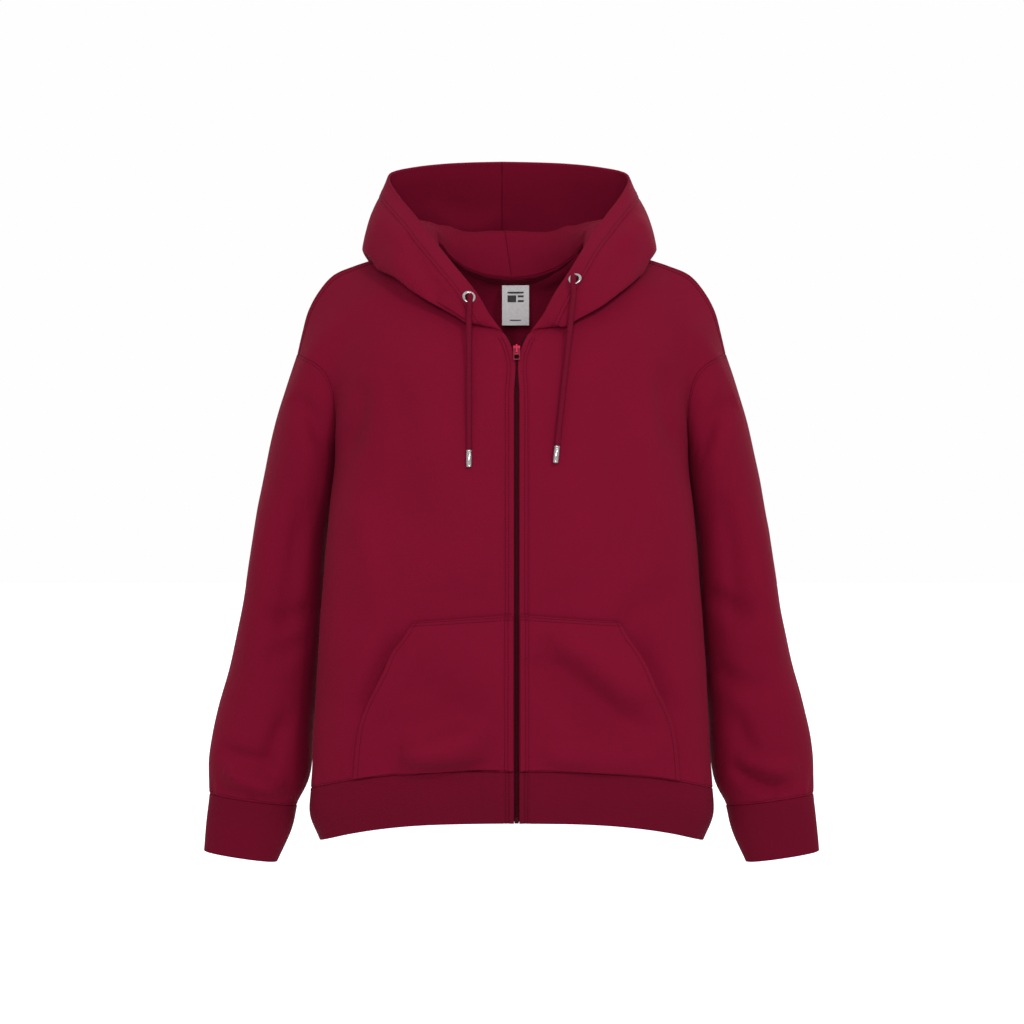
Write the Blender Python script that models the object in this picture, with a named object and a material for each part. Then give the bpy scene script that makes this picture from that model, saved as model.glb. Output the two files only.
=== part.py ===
"""Zip-up hooded sweatshirt, filled out as on a wearer, hood down, zip closed to the top.

Metres, +Z up. The front faces -Y and +X is the side of the wearer's left arm. The origin
is where a wearer holds it up: midway between the two points where the shoulder seams
meet the neckline. The shell is hollow, with open neck, hem and cuffs.
Panels are lofts through named rows. Each is a wall of even thickness about its rows, and
panels that are sewn together share the points of their seam.
"""

import math

import bmesh
import bpy
import numpy as np
from mathutils import Matrix, Vector
from mathutils.bvhtree import BVHTree

# ---- sizes ----------------------------------------------------------------------------
FLEECE = 0.0024  # wall of the body, sleeves, hood and pockets
RIB = 0.0032  # wall of the waistband and cuffs
HEM_FOLD = 0.0034  # wall of the turned hem round the hood's opening
GAP = 0.0003  # between pieces that touch
SEAM_GAP = 0.0004  # between the edges of panels sewn together
ZIP_X = 0.006  # the zip hangs this far to the wearer's left of the middle
EDGE = 0.003  # each front edge stands this far off the zip's middle
SIDE_CURVE = 3.0  # roundness of the torso's front, 2 is an ellipse
BACK_CURVE = 2.6
MIDDLE_Y = -0.030  # the torso's widest line
FRONT_COLUMNS = 9
NECK_COLUMNS = 4  # on each half of the back neck
SLEEVE_SIDES = 20
HOOD_ROWS = 16

SLIDER_Z = -0.1375
CHAIN_WIDE, CHAIN_DEEP = 0.0044, 0.0022
TAPE_WIDE, TAPE_THICK = 0.0120, 0.0008
TAPE_BEHIND = 0.0024  # the tapes lie this far behind the middle of the fronts' walls
PULL_LONG, PULL_WIDE, PULL_THICK = 0.0146, 0.0080, 0.0012
PULL_HOLE_WIDE, PULL_HOLE_TALL, PULL_HOLE_DOWN = 0.0060, 0.0050, 0.0100

CORD_RADIUS = 0.0033
TIP_RADIUS, TIP_LONG = 0.0036, 0.020
EYELET_OUTER, EYELET_BORE, EYELET_BARREL, EYELET_THICK = 0.0080, 0.0046, 0.0052, 0.0009
EYELET_CUT = 0.0056  # radius of the hole in the hood's cloth
NECK_TAPE_WIDE = 0.010
LABEL_X, LABEL_WIDE, LABEL_LONG, LABEL_THICK = 0.005, 0.033, 0.049, 0.0008

# ---- tables ---------------------------------------------------------------------------
# The torso's rows: front level, half width, front y, back y, y of the side seam, how far
# the sides hang below the front, and how far the back hangs below the front.
TORSO = (
    (-0.6900, 0.2265, -0.088, 0.078, 0.000, 0.020, 0.010),
    (-0.6750, 0.2335, -0.094, 0.085, 0.000, 0.020, 0.011),
    (-0.6580, 0.2385, -0.100, 0.091, 0.001, 0.020, 0.012),
    (-0.6280, 0.2375, -0.104, 0.094, 0.002, 0.019, 0.012),
    (-0.5500, 0.2330, -0.114, 0.108, 0.006, 0.013, 0.009),
    (-0.4300, 0.2240, -0.121, 0.117, 0.016, 0.005, 0.004),
    (-0.3400, 0.2165, -0.1265, 0.124, 0.026, 0.002, 0.001),
    (-0.2620, 0.2120, -0.1275, 0.127, 0.032, 0.000, 0.000),
)
BAND_LEVELS = (-0.6280, -0.6580, -0.6900)
BODY_LEVELS = (-0.6280, -0.5500, -0.4300, -0.3400)

# The front above the underarm. Columns run from the zip or neck edge, over the chest, to
# the fold in front of the arm and the armhole seam.
FRONT_ROWS = {
    "underarm": (
        (0.003, -0.1275, -0.262), (0.070, -0.1255, -0.263), (0.130, -0.1165, -0.266),
        (0.173, -0.097, -0.270), (0.198, -0.068, -0.275), (0.2115, -0.024, -0.281),
        (0.2045, 0.032, -0.285)),
    "chest": (
        (0.003, -0.1235, -0.190), (0.068, -0.1205, -0.192), (0.128, -0.1105, -0.197),
        (0.169, -0.093, -0.205), (0.194, -0.069, -0.217), (0.208, -0.038, -0.233),
        (0.2105, -0.008, -0.246)),
    "slider": (
        (0.003, -0.1130, -0.142), (0.068, -0.1125, -0.147), (0.124, -0.105, -0.155),
        (0.165, -0.089, -0.166), (0.191, -0.068, -0.181), (0.205, -0.046, -0.198),
        (0.2095, -0.029, -0.214)),
    "zip_top": (
        (0.0146, -0.1035, -0.117), (0.068, -0.105, -0.125), (0.120, -0.099, -0.134),
        (0.162, -0.085, -0.145), (0.189, -0.066, -0.158), (0.204, -0.050, -0.172),
        (0.2115, -0.038, -0.184)),
    "collar_bone": (
        (0.056, -0.086, -0.088), (0.093, -0.085, -0.092), (0.128, -0.080, -0.099),
        (0.161, -0.071, -0.109), (0.187, -0.059, -0.123), (0.207, -0.048, -0.141),
        (0.223, -0.040, -0.157)),
    "neck_side": (
        (0.082, -0.046, -0.043), (0.111, -0.048, -0.049), (0.140, -0.047, -0.057),
        (0.168, -0.044, -0.070), (0.196, -0.040, -0.090), (0.223, -0.034, -0.117),
        (0.243, -0.027, -0.143)),
}
FRONT_STEPS = (2, 1, 1, 2, 2, 2)  # mesh rows from each of these to the next, and on up

SHOULDER_SEAM = (  # from the neck to the top of the sleeve
    (0.088, 0.005, 0.000), (0.118, 0.006, -0.008), (0.149, 0.007, -0.0172),
    (0.180, 0.008, -0.0268), (0.214, 0.010, -0.0405), (0.240, 0.011, -0.0745),
    (0.257, 0.012, -0.135))

# The back above the underarm, from the middle of the back to the armhole seam.
BACK_ROWS = {
    "underarm": (
        (0.000, 0.127, -0.262), (0.070, 0.1245, -0.263), (0.125, 0.1145, -0.266),
        (0.165, 0.097, -0.271), (0.190, 0.071, -0.277), (0.2045, 0.032, -0.285)),
    "shoulder_blade": (
        (0.000, 0.126, -0.190), (0.066, 0.123, -0.192), (0.118, 0.115, -0.198),
        (0.152, 0.104, -0.210), (0.174, 0.090, -0.229), (0.190, 0.068, -0.252)),
    "upper_back": (
        (0.000, 0.116, -0.125), (0.058, 0.114, -0.127), (0.108, 0.1095, -0.133),
        (0.146, 0.104, -0.146), (0.175, 0.1005, -0.166), (0.200, 0.096, -0.192)),
    "yoke": (
        (0.000, 0.101, -0.080), (0.045, 0.0995, -0.080), (0.092, 0.094, -0.082),
        (0.136, 0.087, -0.091), (0.180, 0.082, -0.112), (0.228, 0.073, -0.151)),
    "neck_back": (
        (0.000, 0.0865, -0.054), (0.040, 0.0845, -0.052), (0.088, 0.066, -0.042),
        (0.135, 0.058, -0.043), (0.188, 0.052, -0.062), (0.247, 0.044, -0.1395)),
}
BACK_STEPS = (2, 2, 2, 2, 2)
BACK_NECK = (
    (0.000, 0.072, -0.038), (0.035, 0.066, -0.034), (0.065, 0.045, -0.022),
    (0.088, 0.005, 0.000))

# The sleeve's rings: the outer and inner ends of the ring as x and z, the y of its
# middle, and how far it reaches to the front and the back of that.
SLEEVE = (
    (0.2766, -0.191, 0.2135, -0.306, 0.035, 0.076),
    (0.2910, -0.246, 0.2190, -0.334, 0.036, 0.074),
    (0.3040, -0.312, 0.2230, -0.372, 0.036, 0.072),
    (0.3160, -0.388, 0.2265, -0.428, 0.036, 0.070),
    (0.3255, -0.448, 0.2300, -0.480, 0.035, 0.067),
    (0.3380, -0.506, 0.2345, -0.533, 0.032, 0.062),
    (0.3535, -0.564, 0.2400, -0.588, 0.027, 0.055),
    (0.3635, -0.622, 0.2450, -0.644, 0.022, 0.046),
    (0.3625, -0.664, 0.2600, -0.678, 0.018, 0.034),
)
SLEEVE_STEPS = (2, 1, 2, 2, 1, 1, 1, 2, 1)
CUFF = (
    (0.3655, -0.690, 0.2650, -0.702, 0.016, 0.030),
    (0.3690, -0.733, 0.2835, -0.746, 0.012, 0.024),
)

# The hood lies open behind the neck. Each row is a place along the neckline, as a share
# of the way from the front to the middle of the back. From the neck seam the cloth
# stands up, turns over at the crest, drops to the fold, and rises up the outer wall to
# the edge of the opening.
HOOD = (
    (0.10, (0.057, -0.091, -0.079), (0.060, -0.098, -0.084), (0.055, -0.1100, -0.107),
     (0.046, -0.109, -0.101), (0.032, -0.1020, -0.094)),
    (0.20, (0.069, -0.073, -0.056), (0.078, -0.084, -0.053), (0.079, -0.1030, -0.093),
     (0.066, -0.105, -0.078), (0.0445, -0.0955, -0.071)),
    (0.32, (0.083, -0.046, -0.030), (0.098, -0.060, -0.026), (0.107, -0.0930, -0.077),
     (0.092, -0.093, -0.050), (0.066, -0.0800, -0.041)),
    (0.44, (0.088, -0.020, -0.008), (0.109, -0.034, 0.000), (0.136, -0.0710, -0.057),
     (0.120, -0.071, -0.020), (0.090, -0.0520, -0.005)),
    (0.56, (0.090, 0.006, 0.012), (0.117, -0.002, 0.021), (0.160, -0.0380, -0.037),
     (0.148, -0.036, 0.010), (0.115, -0.0180, 0.031)),
    (0.67, (0.077, 0.036, 0.004), (0.116, 0.030, 0.029), (0.1745, 0.0020, -0.014),
     (0.164, 0.010, 0.034), (0.139, 0.0240, 0.065)),
    (0.78, (0.056, 0.060, 0.000), (0.094, 0.066, 0.028), (0.152, 0.0860, -0.052),
     (0.158, 0.080, 0.030), (0.141, 0.0680, 0.091)),
    (0.89, (0.029, 0.075, -0.006), (0.050, 0.086, 0.022), (0.088, 0.1350, -0.115),
     (0.095, 0.142, 0.010), (0.076, 0.1000, 0.105)),
    (1.00, (0.000, 0.080, -0.010), (0.000, 0.095, 0.019), (0.000, 0.1520, -0.140),
     (0.000, 0.172, -0.015), (0.000, 0.1120, 0.109)),
)
HOOD_LEAN = 0.006  # the fold hangs this much lower on the wearer's left, and higher right
HOOD_SEAM_X = -0.012  # the hood's middle seam has slipped this far to the wearer's right

# A pocket's outer side, from its top corner down the slanted opening to the band.
POCKET_TOP = -0.4440  # at the zip
POCKET_SIDE = (
    (0.1140, -0.4525), (0.1290, -0.4850), (0.1430, -0.5200), (0.1560, -0.5450),
    (0.1755, -0.5700), (0.1820, -0.6050), (0.1845, -0.6400))
POCKET_BAG = 0.010  # how far the opening stands off the front
POCKET_WIDER = 0.0116  # the right-hand half reaches this much further from the middle

# Eyelets, where the drawcords come out of the hood, and the cords' lower ends, as x, z.
EYELETS = {"left": (-0.0495, -0.0744), "right": (0.0742, -0.0528)}
CORD_ENDS = {"left": (-0.0491, -0.2570), "right": (0.0526, -0.2489)}

COLOURS = {  # linear red, green, blue; roughness; metallic
    "fleece": ((0.152, 0.0066, 0.0220), 0.92, 0.0),
    "rib": ((0.145, 0.0062, 0.0210), 0.94, 0.0),
    "tape": ((0.105, 0.0045, 0.0150), 0.85, 0.0),
    "cord": ((0.160, 0.0080, 0.0260), 0.85, 0.0),
    "teeth": ((0.055, 0.0040, 0.0090), 0.45, 0.0),
    "lacquer": ((0.560, 0.0160, 0.0750), 0.35, 0.3),
    "pull": ((0.180, 0.0080, 0.0280), 0.45, 0.2),
    "steel": ((0.560, 0.550, 0.550), 0.30, 1.0),
    "label": ((0.520, 0.510, 0.510), 0.75, 0.0),
}


# ---- curves and rows ------------------------------------------------------------------
def through(points, knots, places):
    """A smooth curve through the points, one at each knot, read at the places."""
    points, knots = np.asarray(points, float), np.asarray(knots, float)
    places = np.clip(np.asarray(places, float), knots[0], knots[-1])
    shape = (-1,) + (1,) * (points.ndim - 1)
    step = np.diff(knots).reshape(shape)
    slope = np.diff(points, axis=0) / step
    lean = np.concatenate([slope[:1], slope[:1], slope[1:]])[: len(points)]
    lean[1:-1] = (slope[:-1] * step[1:] + slope[1:] * step[:-1]) / (step[:-1] + step[1:])
    lean[-1] = slope[-1]
    at = np.clip(np.searchsorted(knots, places, side="right") - 1, 0, len(knots) - 2)
    wide = (knots[at + 1] - knots[at]).reshape(shape)
    t = (places - knots[at]).reshape(shape) / wide
    return (
        (2 * t**3 - 3 * t**2 + 1) * points[at]
        + (t**3 - 2 * t**2 + t) * wide * lean[at]
        + (3 * t**2 - 2 * t**3) * points[at + 1]
        + (t**3 - t**2) * wide * lean[at + 1]
    )


def along(points):
    """How far along a line of points each one is, from 0 to 1."""
    steps = np.linalg.norm(np.diff(points, axis=0), axis=1)
    return np.concatenate([[0.0], np.cumsum(steps)]) / steps.sum()


def evenly(points, count, shares=None):
    """Points at even steps, or at the given shares, along a smooth line."""
    dense = through(points, along(np.asarray(points, float)), np.linspace(0, 1, 400))
    return on_line(dense, np.linspace(0, 1, count + 1) if shares is None else shares)


def on_line(dense, shares):
    far = along(dense)
    return np.stack([np.interp(shares, far, dense[:, k]) for k in range(3)], axis=1)


def loft(rows, steps):
    """Rows laid smoothly through the given rows, with so many steps from each to the next."""
    rows = np.asarray(rows, float)
    gaps = np.linalg.norm(np.diff(rows, axis=0), axis=2).mean(axis=1)
    knots = np.concatenate([[0.0], np.cumsum(gaps)])
    places = [
        a + (b - a) * k / n
        for a, b, n in zip(knots[:-1], knots[1:], steps, strict=True)
        for k in range(n)
    ]
    return through(rows, knots, places + [knots[-1]])


def torso_line(level, part):
    """The torso's outline at one level: its front or back, from the middle to the side seam."""
    table = np.array(TORSO)
    half, front, back, seam, side_drop, rear_drop = through(
        table[:, 1:], table[:, 0], [level]
    )[0]
    turn = np.linspace(0, math.pi, 1201)
    s, c = np.sin(turn), np.cos(turn)
    power = np.where(c > 0, 2 / SIDE_CURVE, 2 / BACK_CURVE)
    deep = np.where(c > 0, MIDDLE_Y - front, back - MIDDLE_Y)
    x = half * s**power
    y = MIDDLE_Y - deep * np.sign(c) * np.abs(c) ** power
    z = level - side_drop * s**2 - rear_drop * (1 - c) / 2
    line = np.stack([x, y, z], axis=1)
    cut = int(np.argmin(np.abs(y - seam) + (x < half / 2)))
    if part == "back":
        return line[cut:][::-1]
    ahead = line[: cut + 1]
    return np.concatenate([[(EDGE, front, level)], ahead[ahead[:, 0] > EDGE * 2]])


def sleeve_ring(outer_x, outer_z, inner_x, inner_z, middle_y, reach, shares):
    """One ring of a sleeve, from its outer side round by the front, at shares of its girth."""
    turn = np.linspace(0, 2 * math.pi, 721)
    c, s = np.cos(turn), np.sin(turn)
    c, s = np.sign(c) * np.abs(c) ** 0.92, np.sign(s) * np.abs(s) ** 0.92
    x = (outer_x + inner_x) / 2 + (outer_x - inner_x) / 2 * c
    z = (outer_z + inner_z) / 2 + (outer_z - inner_z) / 2 * c
    ring = np.stack([x, middle_y - reach * s, z], axis=1)
    return on_line(ring, shares)[:-1]


# ---- the shape of each panel, as grids of points on the wearer's left -------------------
def front_grid():
    rows = [evenly(torso_line(z, "front"), FRONT_COLUMNS) for z in BODY_LEVELS]
    rows += [evenly(row, FRONT_COLUMNS) for row in FRONT_ROWS.values()]
    rows.append(evenly(SHOULDER_SEAM, FRONT_COLUMNS))
    rows = np.array(rows)
    return loft(rows, (2, 2, 2, 2) + FRONT_STEPS)


def back_grid(front):
    """Half of the back, from its middle to the side, sharing the front's side seam."""
    columns = NECK_COLUMNS + FRONT_COLUMNS
    rows = [evenly(torso_line(z, "back"), columns) for z in BODY_LEVELS]
    rows += [evenly(row, columns) for row in BACK_ROWS.values()]
    top = np.concatenate([evenly(BACK_NECK, NECK_COLUMNS)[:-1], front[-1]])
    rows = np.array(rows + [top])
    rows[:, 0, 0] = 0.0
    grid = loft(rows, (2, 2, 2, 2) + BACK_STEPS)
    seam_rows = 9  # from the band to the underarm
    shift = front[:seam_rows, -1] - grid[:seam_rows, -1]
    blend = np.linspace(0, 1, columns + 1) ** 6
    grid[:seam_rows] += blend[None, :, None] * shift[:, None, :]
    return grid


def band_grid(columns, part):
    rows = [evenly(torso_line(z, part), columns) for z in BAND_LEVELS]
    if part == "back":
        for row in rows:
            row[0, 0] = 0.0
    return np.array(rows)


def sleeve_grid(front, back):
    """Rings from the armhole seam to the cuff seam. The first is the armhole itself."""
    under = 8
    armhole = np.concatenate([front[under:, -1][::-1], back[under + 1 : -1, -1]])
    closed = np.concatenate([armhole, armhole[:1]])
    own, even = along(closed), np.linspace(0, 1, SLEEVE_SIDES + 1)
    rings = [armhole]
    for k, row in enumerate(SLEEVE):
        keep = max(0.0, 1 - k / 3)
        rings.append(sleeve_ring(*row, own * keep + even * (1 - keep)))
    return loft(rings, SLEEVE_STEPS)


def cuff_grid(sleeve):
    even = np.linspace(0, 1, SLEEVE_SIDES + 1)
    return loft([sleeve[-1]] + [sleeve_ring(*row, even) for row in CUFF], (1, 1))


def hood_grid(front, back, lean):
    """From the neck seam to the opening's edge, by columns from the front to the back."""
    collar = np.concatenate([front[12:, 0], back[-1, NECK_COLUMNS - 1 :: -1]])
    share = along(collar[1:])
    table = [row[0] for row in HOOD]
    shape = np.array([row[1:] for row in HOOD])
    sag = np.interp(table, (0.1, 0.3, 0.45, 0.6), (0.3, 1.0, 1.0, 0.0)) * lean
    shape[:, 2, 1:] -= np.stack([sag / 2, sag], axis=1)
    shape[:, 3, 1:] -= np.stack([sag / 2, sag / 2], axis=1)
    places = sorted(set(share) | set((share[:-1] + share[1:]) / 2))
    seam = np.stack([np.interp(places, share, collar[1:, k]) for k in range(3)], axis=1)
    shares = np.linspace(0, 1, HOOD_ROWS + 1)
    columns = [collar[1] + (collar[0] - collar[1]) * shares[:, None]]
    for place, start in zip(places[1:], seam[1:], strict=True):
        marks = through(shape, table, [place])[0]
        if place < table[0]:
            pull = place / table[0]
            rest = on_line(np.array([start, collar[1], collar[0]]), (0.15, 0.3, 0.5, 0.7, 1))
            marks = marks * pull**0.7 + rest * (1 - pull**0.7)
        columns.append(evenly(np.concatenate([[start], marks]), HOOD_ROWS))
    grid = np.stack(columns, axis=1)
    slip = np.array([0.0, *places[1:]]) ** 4 * HOOD_SEAM_X
    return grid, slip[None, :] * np.clip(shares * 6, 0, 1)[:, None]


def mirrored(grid):
    return grid * np.array([-1.0, 1.0, 1.0])


def hang_zip(grid):
    """Moves the middle of the front across to where the zip hangs."""
    out = grid.copy()
    share = 1 - np.clip(np.abs(grid[..., 0]) / SHOULDER_SEAM[0][0], 0, 1) ** 3
    ahead = np.clip(-grid[..., 1] / 0.05, 0, 1)
    out[..., 0] += ZIP_X * share * ahead
    return out


# ---- walls ----------------------------------------------------------------------------
def unit(v):
    return v / np.maximum(np.linalg.norm(v, axis=-1, keepdims=True), 1e-12)


def facing(grid, wrap):
    """The average direction that the faces round each point look in."""
    g = np.concatenate([grid, grid[:, :1]], axis=1) if wrap else grid
    n = np.cross(g[1:, 1:] - g[:-1, :-1], g[1:, :-1] - g[:-1, 1:])
    size = np.linalg.norm(n, axis=-1, keepdims=True)
    n = np.where(size > 1e-9, n / np.maximum(size, 1e-12), 0)
    out = np.zeros_like(g)
    for a in (slice(None, -1), slice(1, None)):
        for b in (slice(None, -1), slice(1, None)):
            out[a, b] += n
    if wrap:
        out[:, 0] += out[:, -1]
        out = out[:, :-1]
    return unit(out)


def spot(point):
    return tuple(int(round(c * 20000)) for c in point)


def share_facing(panels):
    """One direction for each point that several panels share, so that their walls meet."""
    total, count = {}, {}
    own = {name: facing(p["grid"], p["wrap"]) * p["side"] for name, p in panels.items()}
    for name, p in panels.items():
        for point, n in zip(p["grid"].reshape(-1, 3), own[name].reshape(-1, 3), strict=True):
            at = spot(point)
            total[at] = total.get(at, 0) + n
            count[at] = count.get(at, 0) + 1
    for name, p in panels.items():
        out = own[name].copy()
        for i in np.ndindex(out.shape[:2]):
            at = spot(p["grid"][i])
            if count[at] > 1:
                n = unit(total[at])
                open_up = np.linalg.norm(total[at]) / count[at]
                out[i] = n / max(open_up, 0.7)
        p["out"] = out


def draw_in(grid, out, wrap):
    """Moves the panel's edges in by half the seam's gap."""
    grid = grid.copy()
    move = np.zeros_like(grid)

    def edge(line, inner, n):
        go = np.gradient(line, axis=0)
        d = unit(np.cross(unit(n), unit(go)))
        more = np.linalg.norm(n, axis=-1, keepdims=True) ** 3  # where the walls fold sharply
        return d * np.sign((d * unit(inner - line)).sum()) * more * SEAM_GAP / 2

    move[0] += edge(grid[0], grid[1], out[0])
    move[-1] += edge(grid[-1], grid[-2], out[-1])
    if not wrap:
        move[:, 0] += edge(grid[:, 0], grid[:, 1], out[:, 0])
        move[:, -1] += edge(grid[:, -1], grid[:, -2], out[:, -1])
    return grid + move


def wall(name, grid, out, thick, colour, wrap=False, drawn=True):
    """A closed wall about a grid of points, as thick as asked at each row."""
    rows, columns = grid.shape[:2]
    mid = draw_in(grid, out, wrap) if drawn else grid
    half = np.asarray(thick, float).reshape(-1, 1, 1) / 2
    points = np.concatenate([(mid + out * half).reshape(-1, 3), (mid - out * half).reshape(-1, 3)])
    back = rows * columns

    def at(r, c, side=0):
        return side * back + r * columns + c % columns

    faces = []
    around = columns if wrap else columns - 1
    for r in range(rows - 1):
        for c in range(around):
            quad = (at(r, c), at(r, c + 1), at(r + 1, c + 1), at(r + 1, c))
            faces += [quad, tuple(i + back for i in quad[::-1])]
    for c in range(around):
        for r in (0, rows - 1):
            faces.append((at(r, c), at(r, c + 1), at(r, c + 1, 1), at(r, c, 1)))
    if not wrap:
        for r in range(rows - 1):
            for c in (0, columns - 1):
                faces.append((at(r, c), at(r + 1, c), at(r + 1, c, 1), at(r, c, 1)))
    return solid(name, points, faces, colour)


# ---- objects --------------------------------------------------------------------------
def clear_scene():
    for obj in list(bpy.data.objects):
        bpy.data.objects.remove(obj, do_unlink=True)
    for name in ("zip_up_hoodie", "cutters"):
        old = bpy.data.collections.get(name)
        if old:
            bpy.data.collections.remove(old)


def collection(name):
    made = bpy.data.collections.new(name)
    bpy.context.scene.collection.children.link(made)
    return made


def material(kind, name):
    colour, rough, metal = COLOURS[kind]
    made = bpy.data.materials.new(name)
    made.use_nodes = True
    shader = made.node_tree.nodes["Principled BSDF"]
    shader.inputs["Base Color"].default_value = (*colour, 1.0)
    shader.inputs["Roughness"].default_value = rough
    shader.inputs["Metallic"].default_value = metal
    made.diffuse_color = (*colour, 1.0)
    return made


def add(name, data, colour, where=None):
    obj = bpy.data.objects.new(name, data)
    if colour:
        data.materials.append(material(colour, name))
    (where or HOODIE).objects.link(obj)
    return obj


def solid(name, points, faces, colour, where=None):
    mesh = bpy.data.meshes.new(name)
    mesh.from_pydata([tuple(map(float, p)) for p in points], [], faces)
    bm = bmesh.new()
    bm.from_mesh(mesh)
    bmesh.ops.recalc_face_normals(bm, faces=bm.faces)
    bm.to_mesh(mesh)
    bm.free()
    return add(name, mesh, colour, where)


def block(name, size, middle, colour, turn=None, bevel=0.0, where=None):
    """A box of the given size, turned and set down about its middle."""
    bm = bmesh.new()
    bmesh.ops.create_cube(bm, size=1.0)
    bmesh.ops.scale(bm, vec=size, verts=bm.verts)
    if bevel:
        bmesh.ops.bevel(
            bm, geom=bm.edges[:], offset=bevel, segments=2, affect="EDGES", profile=0.5
        )
    bmesh.ops.transform(
        bm, matrix=Matrix.Translation(middle) @ (turn or Matrix()), verts=bm.verts
    )
    mesh = bpy.data.meshes.new(name)
    bm.to_mesh(mesh)
    bm.free()
    return add(name, mesh, colour, where)


def turned(name, profile, place, axis, colour, sides=20):
    """A ring or rod turned about an axis, from a closed profile of (radius, height)."""
    tilt = Vector((0, 0, 1)).rotation_difference(axis).to_matrix().to_4x4()
    frame = Matrix.Translation(place) @ tilt
    points, faces = [], []
    closed = profile[0][0] > 0 and profile[-1][0] > 0
    for k in range(sides):
        a = 2 * math.pi * k / sides
        points += [frame @ Vector((r * math.cos(a), r * math.sin(a), h)) for r, h in profile]
    n = len(profile)
    for k in range(sides):
        for j in range(n if closed else n - 1):
            here, on = k * n, (k + 1) % sides * n
            faces.append((here + j, here + (j + 1) % n, on + (j + 1) % n, on + j))
    obj = solid(name, points, faces, colour)
    if not closed:
        bm = bmesh.new()
        bm.from_mesh(obj.data)
        bmesh.ops.remove_doubles(bm, verts=bm.verts, dist=1e-6)
        bmesh.ops.recalc_face_normals(bm, faces=bm.faces)
        bm.to_mesh(obj.data)
        bm.free()
    return obj


def combine(obj, other, how):
    """Joins or cuts an object with another, for good, and puts the other away."""
    step = obj.modifiers.new(how.lower(), "BOOLEAN")
    step.operation, step.solver, step.object = how, "EXACT", other
    graph = bpy.context.evaluated_depsgraph_get()
    done = bpy.data.meshes.new_from_object(obj.evaluated_get(graph))
    obj.modifiers.remove(step)
    obj.data = done
    bpy.data.objects.remove(other, do_unlink=True)
    return obj


def surface(objects):
    """The faces of several objects, for finding where something lies on them."""
    points, faces = [], []
    for obj in objects:
        start = len(points)
        points += [v.co for v in obj.data.vertices]
        faces += [tuple(i + start for i in p.vertices) for p in obj.data.polygons]
    return BVHTree.FromPolygons(points, faces)


def from_front(tree, x, z):
    """The first point met, coming from in front at this x and z, and the way it faces."""
    place, normal, _, _ = tree.ray_cast(Vector((x, -1.0, z)), Vector((0, 1, 0)))
    if normal is not None and normal.y > 0:
        normal = -normal
    return place, normal


clear_scene()
HOODIE = collection("zip_up_hoodie")

# ---- cloth panels ---------------------------------------------------------------------
front = front_grid()
back_half = back_grid(front)
sleeve = sleeve_grid(front, back_half)
cuff = cuff_grid(sleeve)
band_front, band_back = band_grid(FRONT_COLUMNS, "front"), band_grid(
    NECK_COLUMNS + FRONT_COLUMNS, "back"
)
band_front[0], band_back[0] = front[0], back_half[0]
band_back[:, -1] = band_front[:, -1]

grids = {
    "front_right": (hang_zip(front), False, 1),
    "front_left": (hang_zip(mirrored(front)), False, -1),
    "back": (
        np.concatenate([mirrored(back_half[:, :0:-1]), back_half], axis=1), False, -1),
    "sleeve_right": (sleeve, True, 1),
    "sleeve_left": (mirrored(sleeve), True, -1),
    "cuff_right": (cuff, True, 1),
    "cuff_left": (mirrored(cuff), True, -1),
    "waistband": (
        np.concatenate(
            [
                hang_zip(band_front),
                band_back[:, -2::-1],
                mirrored(band_back[:, 1:-1]),
                hang_zip(mirrored(band_front[:, ::-1])),
            ],
            axis=1,
        ), False, -1),
}
for side, lean in (("right", HOOD_LEAN), ("left", -HOOD_LEAN)):
    grid, slip = hood_grid(front, back_half, lean)
    grid = hang_zip(grid if side == "right" else mirrored(grid))
    grid[..., 0] += slip
    grids["hood_" + side] = (grid, False, 1 if side == "right" else -1)

panels = {
    name: {"grid": grid, "wrap": wrap, "side": face}
    for name, (grid, wrap, face) in grids.items()
}


def outward(panel, test):
    """Turns a panel's facing round where it looks the wrong way at a test point."""
    r, c, away = test
    if (facing(panel["grid"], panel["wrap"])[r, c] * panel["side"]) @ np.array(away) < 0:
        panel["side"] *= -1


for name, panel in panels.items():
    sign = -1 if "left" in name else 1
    outward(
        panel,
        {
            "front": (6, 2, (0, -1, 0)),
            "back": (6, 12, (0, 1, 0)),
            "sleeve": (8, 0, (sign, 0, 0)),
            "cuff": (1, 0, (sign, 0, 0)),
            "waistband": (1, 3, (0, -1, 0)),
            "hood": (12, 12, (sign, 0, 0)),
        }[name.split("_")[0]],
    )
share_facing(panels)

# Between the neckline's own points the hood's seam lies straight, and so does its wall.
for side in ("left", "right"):
    hood, body = panels["hood_" + side], panels["front_" + side]
    out = hood["out"]
    out[0, 1:-1:2] = (out[0, 0:-2:2] + out[0, 2::2]) / 2
    share = np.linspace(0, 1, HOOD_ROWS + 1)[:, None]
    out[:, 0] = out[0, 0] * (1 - share) + body["out"][12, 0] * share

built = {}
for name, panel in panels.items():
    kind = "rib" if name.startswith(("cuff", "waist")) else "fleece"
    thick = RIB if kind == "rib" else FLEECE
    if name.startswith("hood"):
        along_rows = np.linspace(0, 1, HOOD_ROWS + 1)
        thick = FLEECE + (HEM_FOLD - FLEECE) * np.clip((along_rows - 0.86) / 0.06, 0, 1)
    built[name] = wall(name, panel["grid"], panel["out"], thick, kind, panel["wrap"])

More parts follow.
